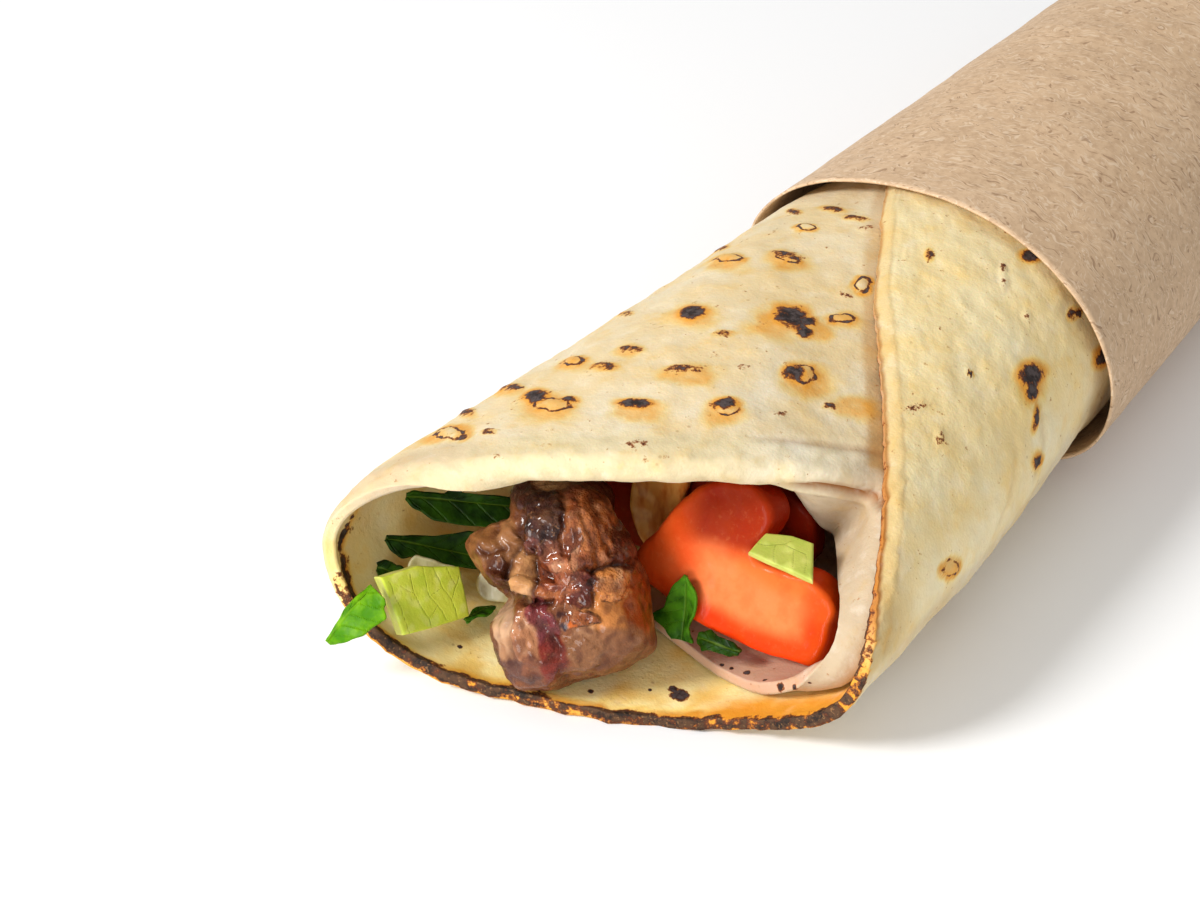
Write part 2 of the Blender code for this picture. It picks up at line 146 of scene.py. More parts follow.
def bread_edge(phi):
    """How far along the roll its edge lies: first the inner turn's hem, then the raw rim and the seam."""
    inner = (
        (-98, 18), (-88, 14.5), (-75, 11.5), (-55, 9), (-30, 8.5), (-10, 10), (5, 13), (20, 19),
        (40, 31), (50, 27), (60, 21.5), (72, 14.5), (82, 9), (92, 5), (105, 0.5), (120, -5),
        (134, -7), (150, -9.5), (165, -11), (180, -11.5),
    )
    outer = (
        (165, -11), (180, -11.5), (195, -11.5), (225, -12.5), (240, -11.8), (255, -9.6), (270, -6),
        (285, -0.5), (300, 3.6), (315, 5.2), (345, 6.2), (353, 7.4), (369, 10.7), (379, 14.6),
        (387, 19.4), (395, 24.6), (400, 28), (414, 38.3), (426, 47.7), (440, 58.8), (450, 70),
        (464, 84), (485, 106),
    )
    return eased(inner, phi) if phi < 172 else eased(outer, phi)


def seam_angle(y):
    """Where the seam crosses the roll, at a distance along it."""
    return eased(((7, -7), (19, 27), (28, 40), (48, 66), (70, 90), (90, 110), (106, 125)), y)


def bread_inset(phi, y):
    """Depth of the bread's middle below the outer skin: a full turn lies inside the seam."""
    end = max(seam_angle(y), 30.0)
    return BREAD / 2.0 + (BREAD + LAYER_GAP) * (1.0 - smoothstep(end + 4.0, end + 50.0, phi))


def hem_width(phi):
    """How much of the folded edge lies behind its bend."""
    widths = (
        (-30, 2.2), (-8, 1.2), (1, 1.2), (10, 2.6), (19, 5.6), (28, 9.4), (37, 12.6), (46, 12.8), (54, 10.5),
        (62, 8.5), (72, 7), (98, 6), (105, 3.5), (111, 1.2), (117, 0.3), (150, 0.2), (172, 0.4), (190, 1.4),
    )
    return eased(widths, phi, 3.0)


def hem_turn(phi):
    """Degrees that the bread turns at its edge: raw edge 0, folded flat nearly 180, curled in at the left."""
    turns = (
        (-60, 0), (-40, 35), (-20, 85), (0, 112), (25, 112), (40, 102), (48, 106), (56, 122), (64, 148),
        (72, 168), (80, 171), (104, 171), (110, 155), (117, 112), (125, 66), (133, 40), (142, 30), (158, 28),
        (168, 36), (180, 42), (190, 38), (215, 35), (240, 22), (262, 8), (285, 0),
    )
    return eased(turns, phi, 3.0)


SHEET_COLUMNS = 372
SHEET_ROWS = 132
EDGE_ROWS = 26
ONE_SIDE = SHEET_COLUMNS * SHEET_ROWS
SLEEVE_START = 94.0
SHOWN_SHARE = 0.86


def bread_column(phi):
    """Points of the sheet at one angle from its free edge round the hem and along the roll, each with its
    distance along the roll and from the free edge. Rows stand closest in the hem, and close up to the sleeve."""
    turn = math.radians(hem_turn(phi))
    flap = hem_width(phi)
    steps = 48
    out = back = 0.0
    path = [(0.0, 0.0)]
    for i in range(steps):
        heading = turn * (i + 0.5) / steps
        out += math.cos(heading) * HEM_ARC / steps
        back += math.sin(heading) * HEM_ARC / steps
        path.append((out, back))
    tip = (out + math.cos(turn) * flap, back + math.sin(turn) * flap)
    raw = smoothstep(215.0, 250.0, phi)
    ragged = noise.noise(Vector((phi * 0.35, 3.0, 0.0))) * 0.5
    ragged += noise.noise(Vector((phi * 0.9, 8.0, 0.0))) * 0.3
    start = bread_edge(phi) + max(max(p[0] for p in path), tip[0]) + ragged * (0.25 + 1.1 * raw)
    shown = max(SLEEVE_START - start, 1.0)
    points = []
    for row in range(SHEET_ROWS):
        far = (flap + HEM_ARC) * min(row / EDGE_ROWS, 1.0)
        if far < flap:
            ahead = tip[0] + (out - tip[0]) * far / flap
            deep = tip[1] + (back - tip[1]) * far / flap
        else:
            step = (1.0 - (far - flap) / HEM_ARC) * steps
            low = min(int(step), steps - 1)
            ahead = path[low][0] + (path[low + 1][0] - path[low][0]) * (step - low)
            deep = path[low][1] + (path[low + 1][1] - path[low][1]) * (step - low)
        y = start - ahead
        if row > EDGE_ROWS:
            part = (row - EDGE_ROWS) / (SHEET_ROWS - 1 - EDGE_ROWS)
            y = start + shown * min(part / SHOWN_SHARE, 1.0)
            if part >= SHOWN_SHARE:
                y += (BREAD_END - start - shown) * (part - SHOWN_SHARE) / (1.0 - SHOWN_SHARE)
            far += y - start
        x, z = section(phi, y, bread_inset(phi, y))
        nx, nz = inward(phi, y, bread_inset(phi, y))
        points.append((placed(x + nx * deep, y, z + nz * deep), y, far))
    return points


def finish(name, bm, mat, *node_names):
    """Makes the object of a finished mesh. It has its material, rides on the part and stands for CAD nodes."""
    mesh = bpy.data.meshes.new(name)
    bm.to_mesh(mesh)
    bm.free()
    mesh.shade_smooth()
    mesh.materials.append(mat)
    obj = bpy.data.objects.new(name, mesh)
    bpy.context.scene.collection.objects.link(obj)
    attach(obj, "root")
    if node_names:
        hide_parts(*node_names)
    return obj


def settle(obj):
    """Turns the object's modifiers into mesh."""
    bpy.context.view_layer.update()
    graph = bpy.context.evaluated_depsgraph_get()
    made = bpy.data.meshes.new_from_object(obj.evaluated_get(graph))
    old = obj.data
    obj.modifiers.clear()
    obj.data = made
    bpy.data.meshes.remove(old)
    made.shade_smooth()
    return made


def points_of(mesh):
    """The mesh's points in the roll's own frame, in millimetres."""
    spots = np.empty(len(mesh.vertices) * 3)
    mesh.vertices.foreach_get("co", spots)
    return spots.reshape(-1, 3) / MM - TO_PART


def normals_of(mesh):
    arrows = np.empty(len(mesh.vertices) * 3)
    mesh.vertices.foreach_get("normal", arrows)
    return arrows.reshape(-1, 3)


def push(mesh, arrows, heights):
    """Moves each point along its arrow by its height in millimetres."""
    spots = np.empty(len(mesh.vertices) * 3)
    mesh.vertices.foreach_get("co", spots)
    spots = spots.reshape(-1, 3) + arrows * np.asarray(heights)[:, None] * MM
    spots[:, 2] = np.maximum(spots[:, 2], 0.0)
    mesh.vertices.foreach_set("co", spots.reshape(-1))
    mesh.update()


def rough(spots, size, seed=0.0, octaves=1):
    """Smooth noise from -1 to 1 at each point, with lumps of the given size in millimetres."""
    shift = Vector((seed, seed * 1.7, -seed))
    if octaves == 1:
        return np.array([noise.noise(Vector(p) / size + shift) for p in spots])
    return np.array([noise.fractal(Vector(p) / size + shift, 1.0, 2.0, octaves) for p in spots])


def stretch_distance(flat, start, end):
    """How far each flat point lies from the straight stretch between two ends."""
    start = np.array(start, dtype=float)
    side = np.array(end, dtype=float) - start
    part = np.clip(((flat - start) @ side) / (side @ side), 0.0, 1.0)
    return np.linalg.norm(flat - start - part[:, None] * side, axis=1)


def line_distance(flat, line):
    """How far each flat point lies from a drawn line."""
    return np.min([stretch_distance(flat, start, end) for start, end in zip(line, line[1:])], axis=0)


def keep(mesh, name, values):
    """Stores one number for each point of a mesh, for its material to read."""
    layer = mesh.attributes.new(name, "FLOAT", "POINT")
    layer.data.foreach_set("value", np.asarray(values, dtype=np.float32))


def kept(mesh, name):
    """Reads such numbers back."""
    values = np.empty(len(mesh.vertices), dtype=np.float32)
    mesh.attributes[name].data.foreach_get("value", values)
    return values.astype(float)


def keep_colour(mesh, name, colours):
    """Stores one colour for each point of a mesh."""
    layer = mesh.attributes.new(name, "FLOAT_COLOR", "POINT")
    full = np.ones((len(colours), 4), dtype=np.float32)
    full[:, :3] = colours
    layer.data.foreach_set("color", full.reshape(-1))


def paint(red, green, blue):
    """A colour picked on a 0 to 255 paint chart, as light."""
    return np.array([(v / 255.0 / 12.92) if v <= 10 else ((v / 255.0 + 0.055) / 1.055) ** 2.4
                     for v in (red, green, blue)])


def ramped(values, low, high):
    """A smooth step at each point, from 0 at low to 1 at high, which may lie either way round."""
    part = np.clip((np.asarray(values) - low) / (high - low), 0.0, 1.0)
    return part * part * (3.0 - 2.0 * part)


def over(base, *coats):
    """Paints coats over the base, one after another. A coat is a colour and its amount at each point."""
    for colour, amount in coats:
        amount = np.asarray(amount)[:, None]
        base = base * (1.0 - amount) + colour * amount
    return base


def add(mat, kind, inputs=None, **settings):
    """A shader node. An input given as a socket is linked, and any other is set."""
    made = mat.node_tree.nodes.new("ShaderNode" + kind)
    for name, value in settings.items():
        setattr(made, name, value)
    for key, value in (inputs or {}).items():
        if isinstance(value, bpy.types.NodeSocket):
            mat.node_tree.links.new(value, made.inputs[key])
        else:
            made.inputs[key].default_value = value
    return made


def new_material(name, roughness, coat=0.0, flesh=0.0, flesh_reach=(1.0, 0.4, 0.2), coat_roughness=0.15,
                 shine=0.5):
    """A surface with its shader. Flesh is how much light travels under the skin, and coat is its wet film."""
    mat = bpy.data.materials.new(name)
    mat.use_nodes = True
    shader = mat.node_tree.nodes["Principled BSDF"]
    shader.inputs["Roughness"].default_value = roughness
    shader.inputs["Specular IOR Level"].default_value = shine
    shader.inputs["Coat Weight"].default_value = coat
    shader.inputs["Coat Roughness"].default_value = coat_roughness
    shader.inputs["Subsurface Weight"].default_value = flesh
    shader.inputs["Subsurface Radius"].default_value = flesh_reach
    shader.inputs["Subsurface Scale"].default_value = 0.002
    return mat


def into(mat, name, socket):
    """Links a socket to the shader's named input."""
    mat.node_tree.links.new(socket, mat.node_tree.nodes["Principled BSDF"].inputs[name])


def spots_in(mat):
    return add(mat, "TexCoord").outputs["Object"]


def stretched(mat, where, scale, turn=(0.0, 0.0, 0.0)):
    return add(mat, "Mapping", {"Vector": where, "Rotation": turn, "Scale": scale}).outputs["Vector"]


def cloud(mat, where, size, detail=3.0, roughness=0.55, distortion=0.0):
    """Noise from 0 to 1 with lumps of about the given size in millimetres."""
    return add(mat, "TexNoise", {"Vector": where, "Scale": 1.0 / (size * MM), "Detail": detail,
                                 "Roughness": roughness, "Distortion": distortion}).outputs["Fac"]


def span(mat, value, low, high, to_low=0.0, to_high=1.0):
    """A smooth step of the value from low to high."""
    return add(mat, "MapRange", {"Value": value, "From Min": low, "From Max": high, "To Min": to_low,
                                 "To Max": to_high}, interpolation_type="SMOOTHSTEP").outputs["Result"]


def sums(mat, kind, first, second):
    """Sum, product or other kind of arithmetic of two values."""
    return add(mat, "Math", {0: first, 1: second}, operation=kind).outputs[0]


def mix(mat, amount, first, second, kind="MIX"):
    """Mixes two colours. A colour is a socket or red, green and blue."""
    full = [c if isinstance(c, bpy.types.NodeSocket) else (*c, 1.0) for c in (first, second)]
    return add(mat, "Mix", {0: amount, 6: full[0], 7: full[1]}, data_type="RGBA", blend_type=kind).outputs[2]


def attribute(mat, name, colour=False):
    """What was stored for each point under this name."""
    made = add(mat, "Attribute", attribute_name=name)
    return made.outputs["Color"] if colour else made.outputs["Fac"]


def tinted(mat, amount, colour, tint):
    """Multiplies a colour by a tint, by an amount."""
    return mix(mat, amount, colour, mix(mat, 1.0, colour, tint, "MULTIPLY"))


def swing(mat, value, reach):
    """A value from 0 to 1, turned into one that swings about 0."""
    return sums(mat, "MULTIPLY", sums(mat, "SUBTRACT", value, 0.5), reach)


def bump(mat, height_socket, depth, before=None):
    """Fine relief of the given depth in millimetres, over what comes before it."""
    inputs = {"Height": height_socket, "Distance": depth * MM}
    if before is not None:
        inputs["Normal"] = before
    return add(mat, "Bump", inputs).outputs["Normal"]


# Small burnt specks inside the mouth: place and size
SPECKS = (
    (26.5, 8.8, 7.3, 0.8), (29.1, 8.3, 8.8, 0.6), (19.6, 11.5, 4.7, 0.6), (17.0, 11.6, 4.3, 0.4),
    (15.3, 11.7, 4.1, 0.4), (23.3, 10.1, 6.2, 0.4), (31.4, 8.3, 10.8, 0.35), (12.4, 5.1, 1.8, 1.5),
    (11.0, 5.6, 1.8, 0.8), (-19.6, -4.4, 2.6, 0.4), (8.2, 3.6, 1.8, 0.35), (1.3, -1.4, 1.9, 0.5),
)


def bread_material():
    mat = new_material("baked_bread_finish", 0.72, flesh=0.08, shine=0.3)
    where = spots_in(mat)
    wide = cloud(mat, where, 11.0, 3.0)
    patch = cloud(mat, where, 4.5, 4.0, 0.6)
    fleck = cloud(mat, where, 1.5, 4.0, 0.65)
    fine = cloud(mat, where, 0.5, 3.0, 0.6)
    tone = attribute(mat, "tone", True)
    toast = attribute(mat, "toast")
    golden = sums(mat, "MULTIPLY", toast, span(mat, wide, 0.36, 0.66))
    colour = tinted(mat, golden, tone, (1.0, 0.90, 0.70))
    colour = tinted(mat, span(mat, patch, 0.50, 0.72), colour, (1.0, 0.93, 0.78))
    floury = mix(mat, 0.25, colour, (1.0, 0.98, 0.90))
    colour = mix(mat, span(mat, patch, 0.46, 0.28, 0.0, 0.6), colour, floury)
    colour = tinted(mat, span(mat, fleck, 0.62, 0.74, 0.0, 0.5), colour, (0.86, 0.74, 0.52))
    cells = add(mat, "TexVoronoi", {"Vector": where, "Scale": 420.0, "Randomness": 1.0}).outputs["Distance"]
    porous = span(mat, cloud(mat, where, 6.0, 2.0), 0.50, 0.66)
    pores = sums(mat, "MULTIPLY", span(mat, cells, 0.16, 0.05), porous)
    colour = mix(mat, sums(mat, "MULTIPLY", pores, 0.45), colour, paint(150, 110, 60))
    halo = sums(mat, "ADD", attribute(mat, "halo"), swing(mat, patch, 0.5))
    colour = tinted(mat, span(mat, halo, 0.16, 0.62, 0.0, 0.62), colour, (1.0, 0.85, 0.38))
    colour = mix(mat, span(mat, halo, 0.42, 0.98, 0.0, 0.9), colour, paint(222, 148, 36))
    ragged = sums(mat, "ADD", swing(mat, fleck, 1.3), swing(mat, fine, 0.5))
    char = sums(mat, "ADD", attribute(mat, "char"), ragged)
    burst = sums(mat, "ADD", attribute(mat, "ring"), swing(mat, patch, 0.9))
    burst = add(mat, "Math", {0: sums(mat, "SUBTRACT", burst, 0.85)}, operation="ABSOLUTE").outputs[0]
    broken = span(mat, wide, 0.38, 0.46, 0.6, 1.0)
    outline = sums(mat, "MULTIPLY", span(mat, burst, 0.22, 0.05, 0.0, 0.46), broken)
    frayed = sums(mat, "MULTIPLY", ragged, span(mat, outline, 0.0, 0.2, 0.0, 0.8))
    char = sums(mat, "MAXIMUM", char, sums(mat, "ADD", outline, frayed))
    for x, y, z, size in SPECKS:
        apart = add(mat, "VectorMath", {0: where, 1: placed(x, y, z)}, operation="DISTANCE").outputs["Value"]
        spot = sums(mat, "ADD", span(mat, apart, size * 1.5 * MM, 0.0, 0.0, 0.85), ragged)
        spot = sums(mat, "MULTIPLY", spot, span(mat, apart, size * 2.0 * MM, size * MM))
        char = sums(mat, "MAXIMUM", char, spot)
    colour = mix(mat, span(mat, char, 0.22, 0.36, 0.0, 0.9), colour, paint(150, 82, 28))
    colour = mix(mat, span(mat, char, 0.32, 0.46), colour, paint(84, 42, 20))
    soot = mix(mat, span(mat, fleck, 0.42, 0.62), paint(38, 27, 24), paint(80, 68, 66))
    crumb = mix(mat, span(mat, fleck, 0.40, 0.60), paint(34, 22, 14), paint(84, 56, 34))
    crumb = mix(mat, span(mat, fine, 0.58, 0.66, 0.0, 0.7), crumb, paint(140, 100, 60))
    soot = mix(mat, attribute(mat, "edge"), soot, crumb)
    colour = mix(mat, span(mat, char, 0.46, 0.56), colour, soot)
    into(mat, "Base Color", colour)
    relief = bump(mat, patch, 0.30)
    relief = bump(mat, fleck, 0.07, before=relief)
    into(mat, "Normal", bump(mat, fine, 0.045, before=relief))
    return mat


def rolled_sheet():
    """The sheet's middle on a grid, with columns round the roll and rows along it, and then its wall."""
    # Columns stand closer together where the bread shows
    places = (
        (0.0, TURN_START), (0.05, 0.0), (0.18, 58.0), (0.42, 148.0), (0.68, 350.0), (0.93, 442.0),
        (1.0, TURN_END),
    )
    turns = [table(places, column / (SHEET_COLUMNS - 1)) for column in range(SHEET_COLUMNS)]
    layout = [bread_column(turn) for turn in turns]
    bm = bmesh.new()
    bmesh.ops.create_grid(bm, x_segments=SHEET_COLUMNS - 1, y_segments=SHEET_ROWS - 1, size=1.0)
    turn_layer = bm.verts.layers.float.new("turn")
    along_layer = bm.verts.layers.float.new("along")
    far_layer = bm.verts.layers.float.new("far")
    for vert in bm.verts:
        column = round((vert.co.x + 1.0) / 2.0 * (SHEET_COLUMNS - 1))
        row = round((vert.co.y + 1.0) / 2.0 * (SHEET_ROWS - 1))
        vert.co, vert[along_layer], vert[far_layer] = layout[column][row]
        vert[turn_layer] = turns[column]
    bm.normal_update()
    bmesh.ops.recalc_face_normals(bm, faces=bm.faces)
    sheet = finish("flatbread_sheet", bm, bread_material(), "flatbread")
    wall = sheet.modifiers.new("Thickness", "SOLIDIFY")
    wall.thickness = BREAD * MM
    wall.offset = 0.0
    wall.use_even_offset = True
    settle(sheet)
    return sheet


def press_seam(mesh):
    """Presses the seam's edge thin. The wall holds all points of one side first, and then those of the other:
    says whether the first side is the outer one."""
    spots = points_of(mesh)
    turn = kept(mesh, "turn")[:ONE_SIDE]
    far = kept(mesh, "far")[:ONE_SIDE]
    first = spots[:ONE_SIDE]
    second = spots[ONE_SIDE:]
    axis = np.array([(middle(y), y, WIDEST * height(y)) for y in kept(mesh, "along")[:ONE_SIDE]])
    first_out, second_out = (np.linalg.norm((side - axis)[:, (0, 2)], axis=1) for side in (first, second))
    outer_first = np.median(first_out - second_out) > 0.0
    outer, inner = (first, second) if outer_first else (second, first)
    outer += (inner - outer) * (0.62 * ramped(far, 4.0, 0.0) * ramped(turn, 366, 385))[:, None]
    mesh.vertices.foreach_set("co", ((spots + TO_PART) * MM).reshape(-1))
    return outer_first


def divide_raw_edge(mesh):
    """Gives the raw edge more points across its thickness, so that it can be rounded and rough."""
    bm = bmesh.new()
    bm.from_mesh(mesh)
    far_layer = bm.verts.layers.float["far"]
    across = [e for e in bm.edges if abs(e.verts[0].index - e.verts[1].index) == ONE_SIDE
              and e.verts[0][far_layer] + e.verts[1][far_layer] < 1e-4]
    bmesh.ops.subdivide_edges(bm, edges=across, cuts=3, use_grid_fill=True)
    bm.to_mesh(mesh)
    bm.free()


# Blisters: angle round the roll, distance along it, half length, half width and slant, and what it is
BLISTERS = (
    (123, 15.4, 3.2, 1.8, -32, "black"), (113, 15.5, 1.6, 0.9, 0, "black"), (116, 13.7, 3.4, 1.9, 0, "ring"),
    (116, 12.7, 6.4, 4.2, -14, "halo"), (99, 18, 2.8, 1.2, 25, "black"), (96, 16.3, 4.4, 3.2, 25, "halo"),
    (83, 24.3, 2.0, 1.4, 45, "black"), (82, 23.4, 1.9, 1.4, 50, "ring"), (82, 22.5, 3.6, 3.0, 59, "halo"),
    (98, 28.6, 3.2, 1.3, 26, "brown"), (96, 27.6, 4.6, 3.2, 25, "halo"), (79, 37.2, 2.0, 1.7, -82, "black"),
    (77, 38.1, 2.4, 1.9, 87, "ring"), (75, 37.4, 5.0, 3.6, 57, "halo"), (113, 42.6, 3.0, 2.1, -28, "black"),
    (112, 42.1, 5.4, 3.8, -21, "halo"), (92, 48.7, 3.4, 2.8, -64, "black"), (86, 46.5, 1.5, 1.3, -82, "black"),
    (88, 49.6, 1.4, 1.2, 86, "black"), (93, 45.8, 5.0, 4.4, -72, "halo"), (85, 48.6, 3.0, 2.6, -80, "halo"),
    (83, 53.6, 2.3, 1.2, 42, "ring"), (83, 53.4, 3.4, 2.2, 44, "halo"), (100, 38.9, 1.8, 0.9, 40, "brown"),
    (116, 30.9, 2.6, 1.3, 0, "brown"), (116, 30.4, 3.6, 2.2, -5, "halo"), (128, 26.8, 3.4, 1.5, -22, "ring"),
    (127, 25.9, 4.8, 2.4, -22, "halo"), (116, 25.1, 2.6, 1.2, 0, "brown"), (139, 19.7, 5.2, 1.2, -26, "brown"),
    (139, 19, 6.2, 2.0, -26, "halo"), (143, 12.6, 4.6, 1.1, -34, "brown"), (139, 44.6, 3.4, 0.8, -30, "brown"),
    (135, 5.2, 4.8, 1.7, -28, "ring"), (138, 3.9, 5.4, 2.0, -26, "halo"), (130, 5.2, 3.6, 1.6, -39, "halo"),
    (121, 4.6, 1.6, 0.9, -15, "brown"), (127, 62, 3.9, 1.4, -23, "ring"), (125, 60, 6.2, 3.0, -24, "halo"),
    (112, 64.5, 3.2, 1.6, -7, "brown"), (110, 63.6, 2.4, 1.2, -7, "ring"), (109, 63, 4.8, 3.4, -9, "halo"),
    (144, 70, 4.0, 1.0, -30, "brown"), (133, 82, 3.1, 0.8, -32, "brown"), (118, 74.6, 2.1, 1.1, -19, "ring"),
    (120, 82.7, 3.0, 1.1, -16, "brown"), (108, 80, 2.2, 1.0, 8, "brown"), (102, 77.8, 1.5, 0.9, 14, "tan"),
    (87, 62.8, 2.1, 1.4, -68, "ring"), (88, 58.9, 1.2, 0.9, 57, "tan"), (67, 35.3, 1.0, 0.6, 53, "brown"),
    (73, 27.9, 1.1, 0.8, 56, "tan"), (88, 33, 1.2, 0.8, -63, "tan"), (89, 9.8, 1.8, 1.0, 35, "tan"),
    (63, 38, 4.2, 2.6, 59, "halo"),
    (439, 73.4, 1.5, 0.8, -64, "brown"), (421, 79, 1.6, 0.6, -66, "tan"), (418, 76.7, 1.5, 0.7, -69, "tan"),
    (418, 85.7, 2.4, 1.2, 64, "black"), (395, 83.2, 1.6, 1.0, -84, "brown"), (374, 85.7, 2.8, 1.5, 80, "black"),
    (406, 74.4, 1.1, 0.8, 87, "tan"), (392, 66.6, 3.2, 2.0, 80, "black"), (388, 64.5, 2.0, 1.4, 80, "black"),
    (390, 65.5, 4.8, 3.4, 86, "halo"), (381, 62.5, 2.4, 0.9, -60, "black"), (367, 59.7, 1.9, 1.1, 60, "black"),
    (367, 59.9, 3.0, 2.0, 60, "halo"), (411, 43.4, 2.4, 0.9, 57, "tan"), (401, 42.4, 1.4, 0.8, -66, "tan"),
    (407, 56.5, 0.7, 0.4, 40, "black"), (394, 84.2, 1.8, 0.9, 80, "brown"),
    (365, 31.3, 2.6, 1.4, 60, "ring"), (365, 31.3, 3.4, 2.2, 60, "halo"),
    (162, 34, 2.6, 1.6, 20, "black"), (162, 33.4, 4.6, 3.2, 20, "halo"), (171, 52, 2.2, 1.4, -40, "ring"),
    (171, 51.6, 3.6, 2.6, -40, "halo"), (163, 78, 2.0, 1.2, 60, "brown"), (182, 24, 1.8, 1.1, 30, "brown"),
    (186, 66, 2.6, 1.8, -20, "black"), (186, 65.2, 4.4, 3.4, -20, "halo"), (228, 40, 3.0, 2.2, 10, "black"),
    (228, 40, 5.0, 4.0, 10, "halo"), (246, 72, 2.4, 1.6, 50, "black"), (246, 72, 4.2, 3.2, 50, "halo"),
    (262, 28, 2.2, 1.5, -30, "brown"), (278, 54, 2.8, 2.0, 70, "ring"), (278, 54, 4.6, 3.4, 70, "halo"),
    (300, 82, 2.6, 1.6, 0, "black"), (318, 46, 2.0, 1.2, 40, "brown"), (330, 74, 2.2, 1.4, -60, "brown"),
)


def blister_marks(spots, turn, y, far, outside):
    """How charred, how haloed, how near a burst blister's outline and how raised each point is."""
    char = np.zeros(len(spots))
    halo = np.zeros(len(spots))
    ring = np.full(len(spots), 4.0)
    raised = np.zeros(len(spots))
    wobble = rough(spots, 3.0, 4.0) * 0.25
    finer = rough(spots, 1.3, 14.0) * 0.30
    for angle, distance, long, short, slant, kind in BLISTERS:
        near = outside & (np.abs(turn - angle) < 40.0) & (np.abs(y - distance) < 14.0) & (far > 2.0)
        x, z = section(angle % 360.0, distance, 0.0)
        ax, az = section(angle - 1.0, distance, 0.0)
        bx, bz = section(angle + 1.0, distance, 0.0)
        level = math.hypot(ax - bx, az - bz)
        across = (spots[near, 0] - x) * (ax - bx) / level + (spots[near, 2] - z) * (az - bz) / level
        down = spots[near, 1] - distance
        c = math.cos(math.radians(slant))
        s = math.sin(math.radians(slant))
        reach = np.hypot((across * c + down * s) / long, (down * c - across * s) / short) + wobble[near]
        if kind == "halo":
            halo[near] = np.maximum(halo[near], np.minimum(1.25 - 0.85 * reach, 0.74))
        elif kind == "ring":
            reach = reach + finer[near]
            halo[near] = np.maximum(halo[near], 0.95 - 1.3 * np.abs(reach - 1.0))
            ring[near] = np.minimum(ring[near], reach)
            raised[near] = np.maximum(raised[near], ramped(reach, 1.1, 0.4))
        else:
            top, fall = {"black": (0.88, 1.6), "brown": (0.50, 3.0), "tan": (0.34, 3.0)}[kind]
            burnt = top - np.maximum(reach, 0.0) ** fall * (top - 0.16)
            char[near] = np.maximum(char[near], burnt)
            raised[near] = np.maximum(raised[near], 0.7 * ramped(reach, 1.2, 0.5))
            if kind != "tan":
                glow = 1.0 - 1.1 * np.maximum(reach - 0.9, 0.0) - 0.25 * (kind == "brown")
                halo[near] = np.maximum(halo[near], glow)
    return char, halo, ring, raised


def rim_marks(spots, turn, far, outside, between):
    """The raw rim is charred at the bottom of the mouth, dashed inside its left end and only browned up the seam,
    where a thin dark line along its inner edge is char together with a painted contact shadow where the edge lies
    on the layer below. Returns how charred and how haloed each point is, and the height of the rim's crumbs."""
    # Up the seam, past 362 degrees, the inner edge's char also stands for a painted contact shadow where the edge
    # lies on the layer below
    rim_in = np.interp(turn, (200, 214, 262, 345, 362, 380, 395, 485),
                       (0.0, 0.66, 0.60, 0.58, 0.56, 0.54, 0.52, 0.44))
    rim_out = np.interp(turn, (205, 240, 262, 290, 345, 365, 385, 485),
                        (0.0, 0.06, 0.28, 0.40, 0.38, 0.24, 0.10, 0.08))
    rim = np.where(outside, rim_out, rim_in)
    rim = np.where(between & (turn > 345), rim_in - np.interp(turn, (345, 368), (0.0, 0.34)), rim)
    inner_width = np.interp(turn, (205, 216, 240, 345, 385, 485), (0.3, 0.9, 1.1, 0.9, 0.3, 0.2))
    outer_width = np.interp(turn, (205, 240, 262, 290, 345, 365, 385, 485),
                            (0.05, 0.25, 0.7, 1.0, 1.1, 0.7, 0.25, 0.2))
    uneven = np.clip(1.0 + 0.9 * rough(spots, 4.0, 21.0), 0.35, 2.0)
    within = np.clip(far / (np.where(outside, outer_width, inner_width) * uneven), 0.0, 9.0)
    raw = ramped(turn, 208, 222) * ramped(turn, 385, 365)
    mottled = 0.40 * rough(spots, 1.5, 12.0) + 0.26 * rough(spots, 0.8, 15.0)
    char = rim + mottled * (0.25 + 0.75 * raw) - 0.34 * within ** 1.5
    glow = np.interp(turn, (205, 230, 280, 300, 345, 385, 400), (2.2, 3.0, 3.4, 5.5, 5.5, 1.6, 1.0))
    browned = np.interp(turn, (285, 300, 345, 365, 385, 410, 450), (1.0, 1.2, 1.0, 0.62, 0.45, 0.3, 0.2))
    browned *= ramped(turn, 200, 214)
    halo = (1.05 + 0.6 * mottled) * browned - far / np.where(outside, 1.3, glow)

    dashes = np.interp(turn, (150, 165, 173, 177, 180, 189, 196, 205, 214),
                       (9.5, 8.0, 6.8, 5.0, 4.2, 2.8, 1.8, 0.9, 0.2))
    thick = np.interp(turn, (160, 174, 180, 186, 192, 205, 214), (0.35, 0.5, 1.4, 0.8, 1.4, 1.0, 0.8))
    dark = np.interp(turn, (155, 163, 174, 180, 186, 190, 196, 214),
                     (0.1, 0.40, 0.50, 0.85, 0.42, 0.86, 0.90, 0.75))
    apart = np.abs(far - dashes) / thick
    left = ~outside * ramped(turn, 152, 160) * ramped(turn, 220, 212)
    char = np.maximum(char, (dark + 0.7 * mottled - 0.36 * apart) * left)
    halo = np.maximum(halo, (0.95 * dark + 0.35 - np.abs(far - dashes - 0.8) / 2.3) * left)
    return char, halo, 0.5 * mottled * raw * ramped(far, 2.6, 0.6)


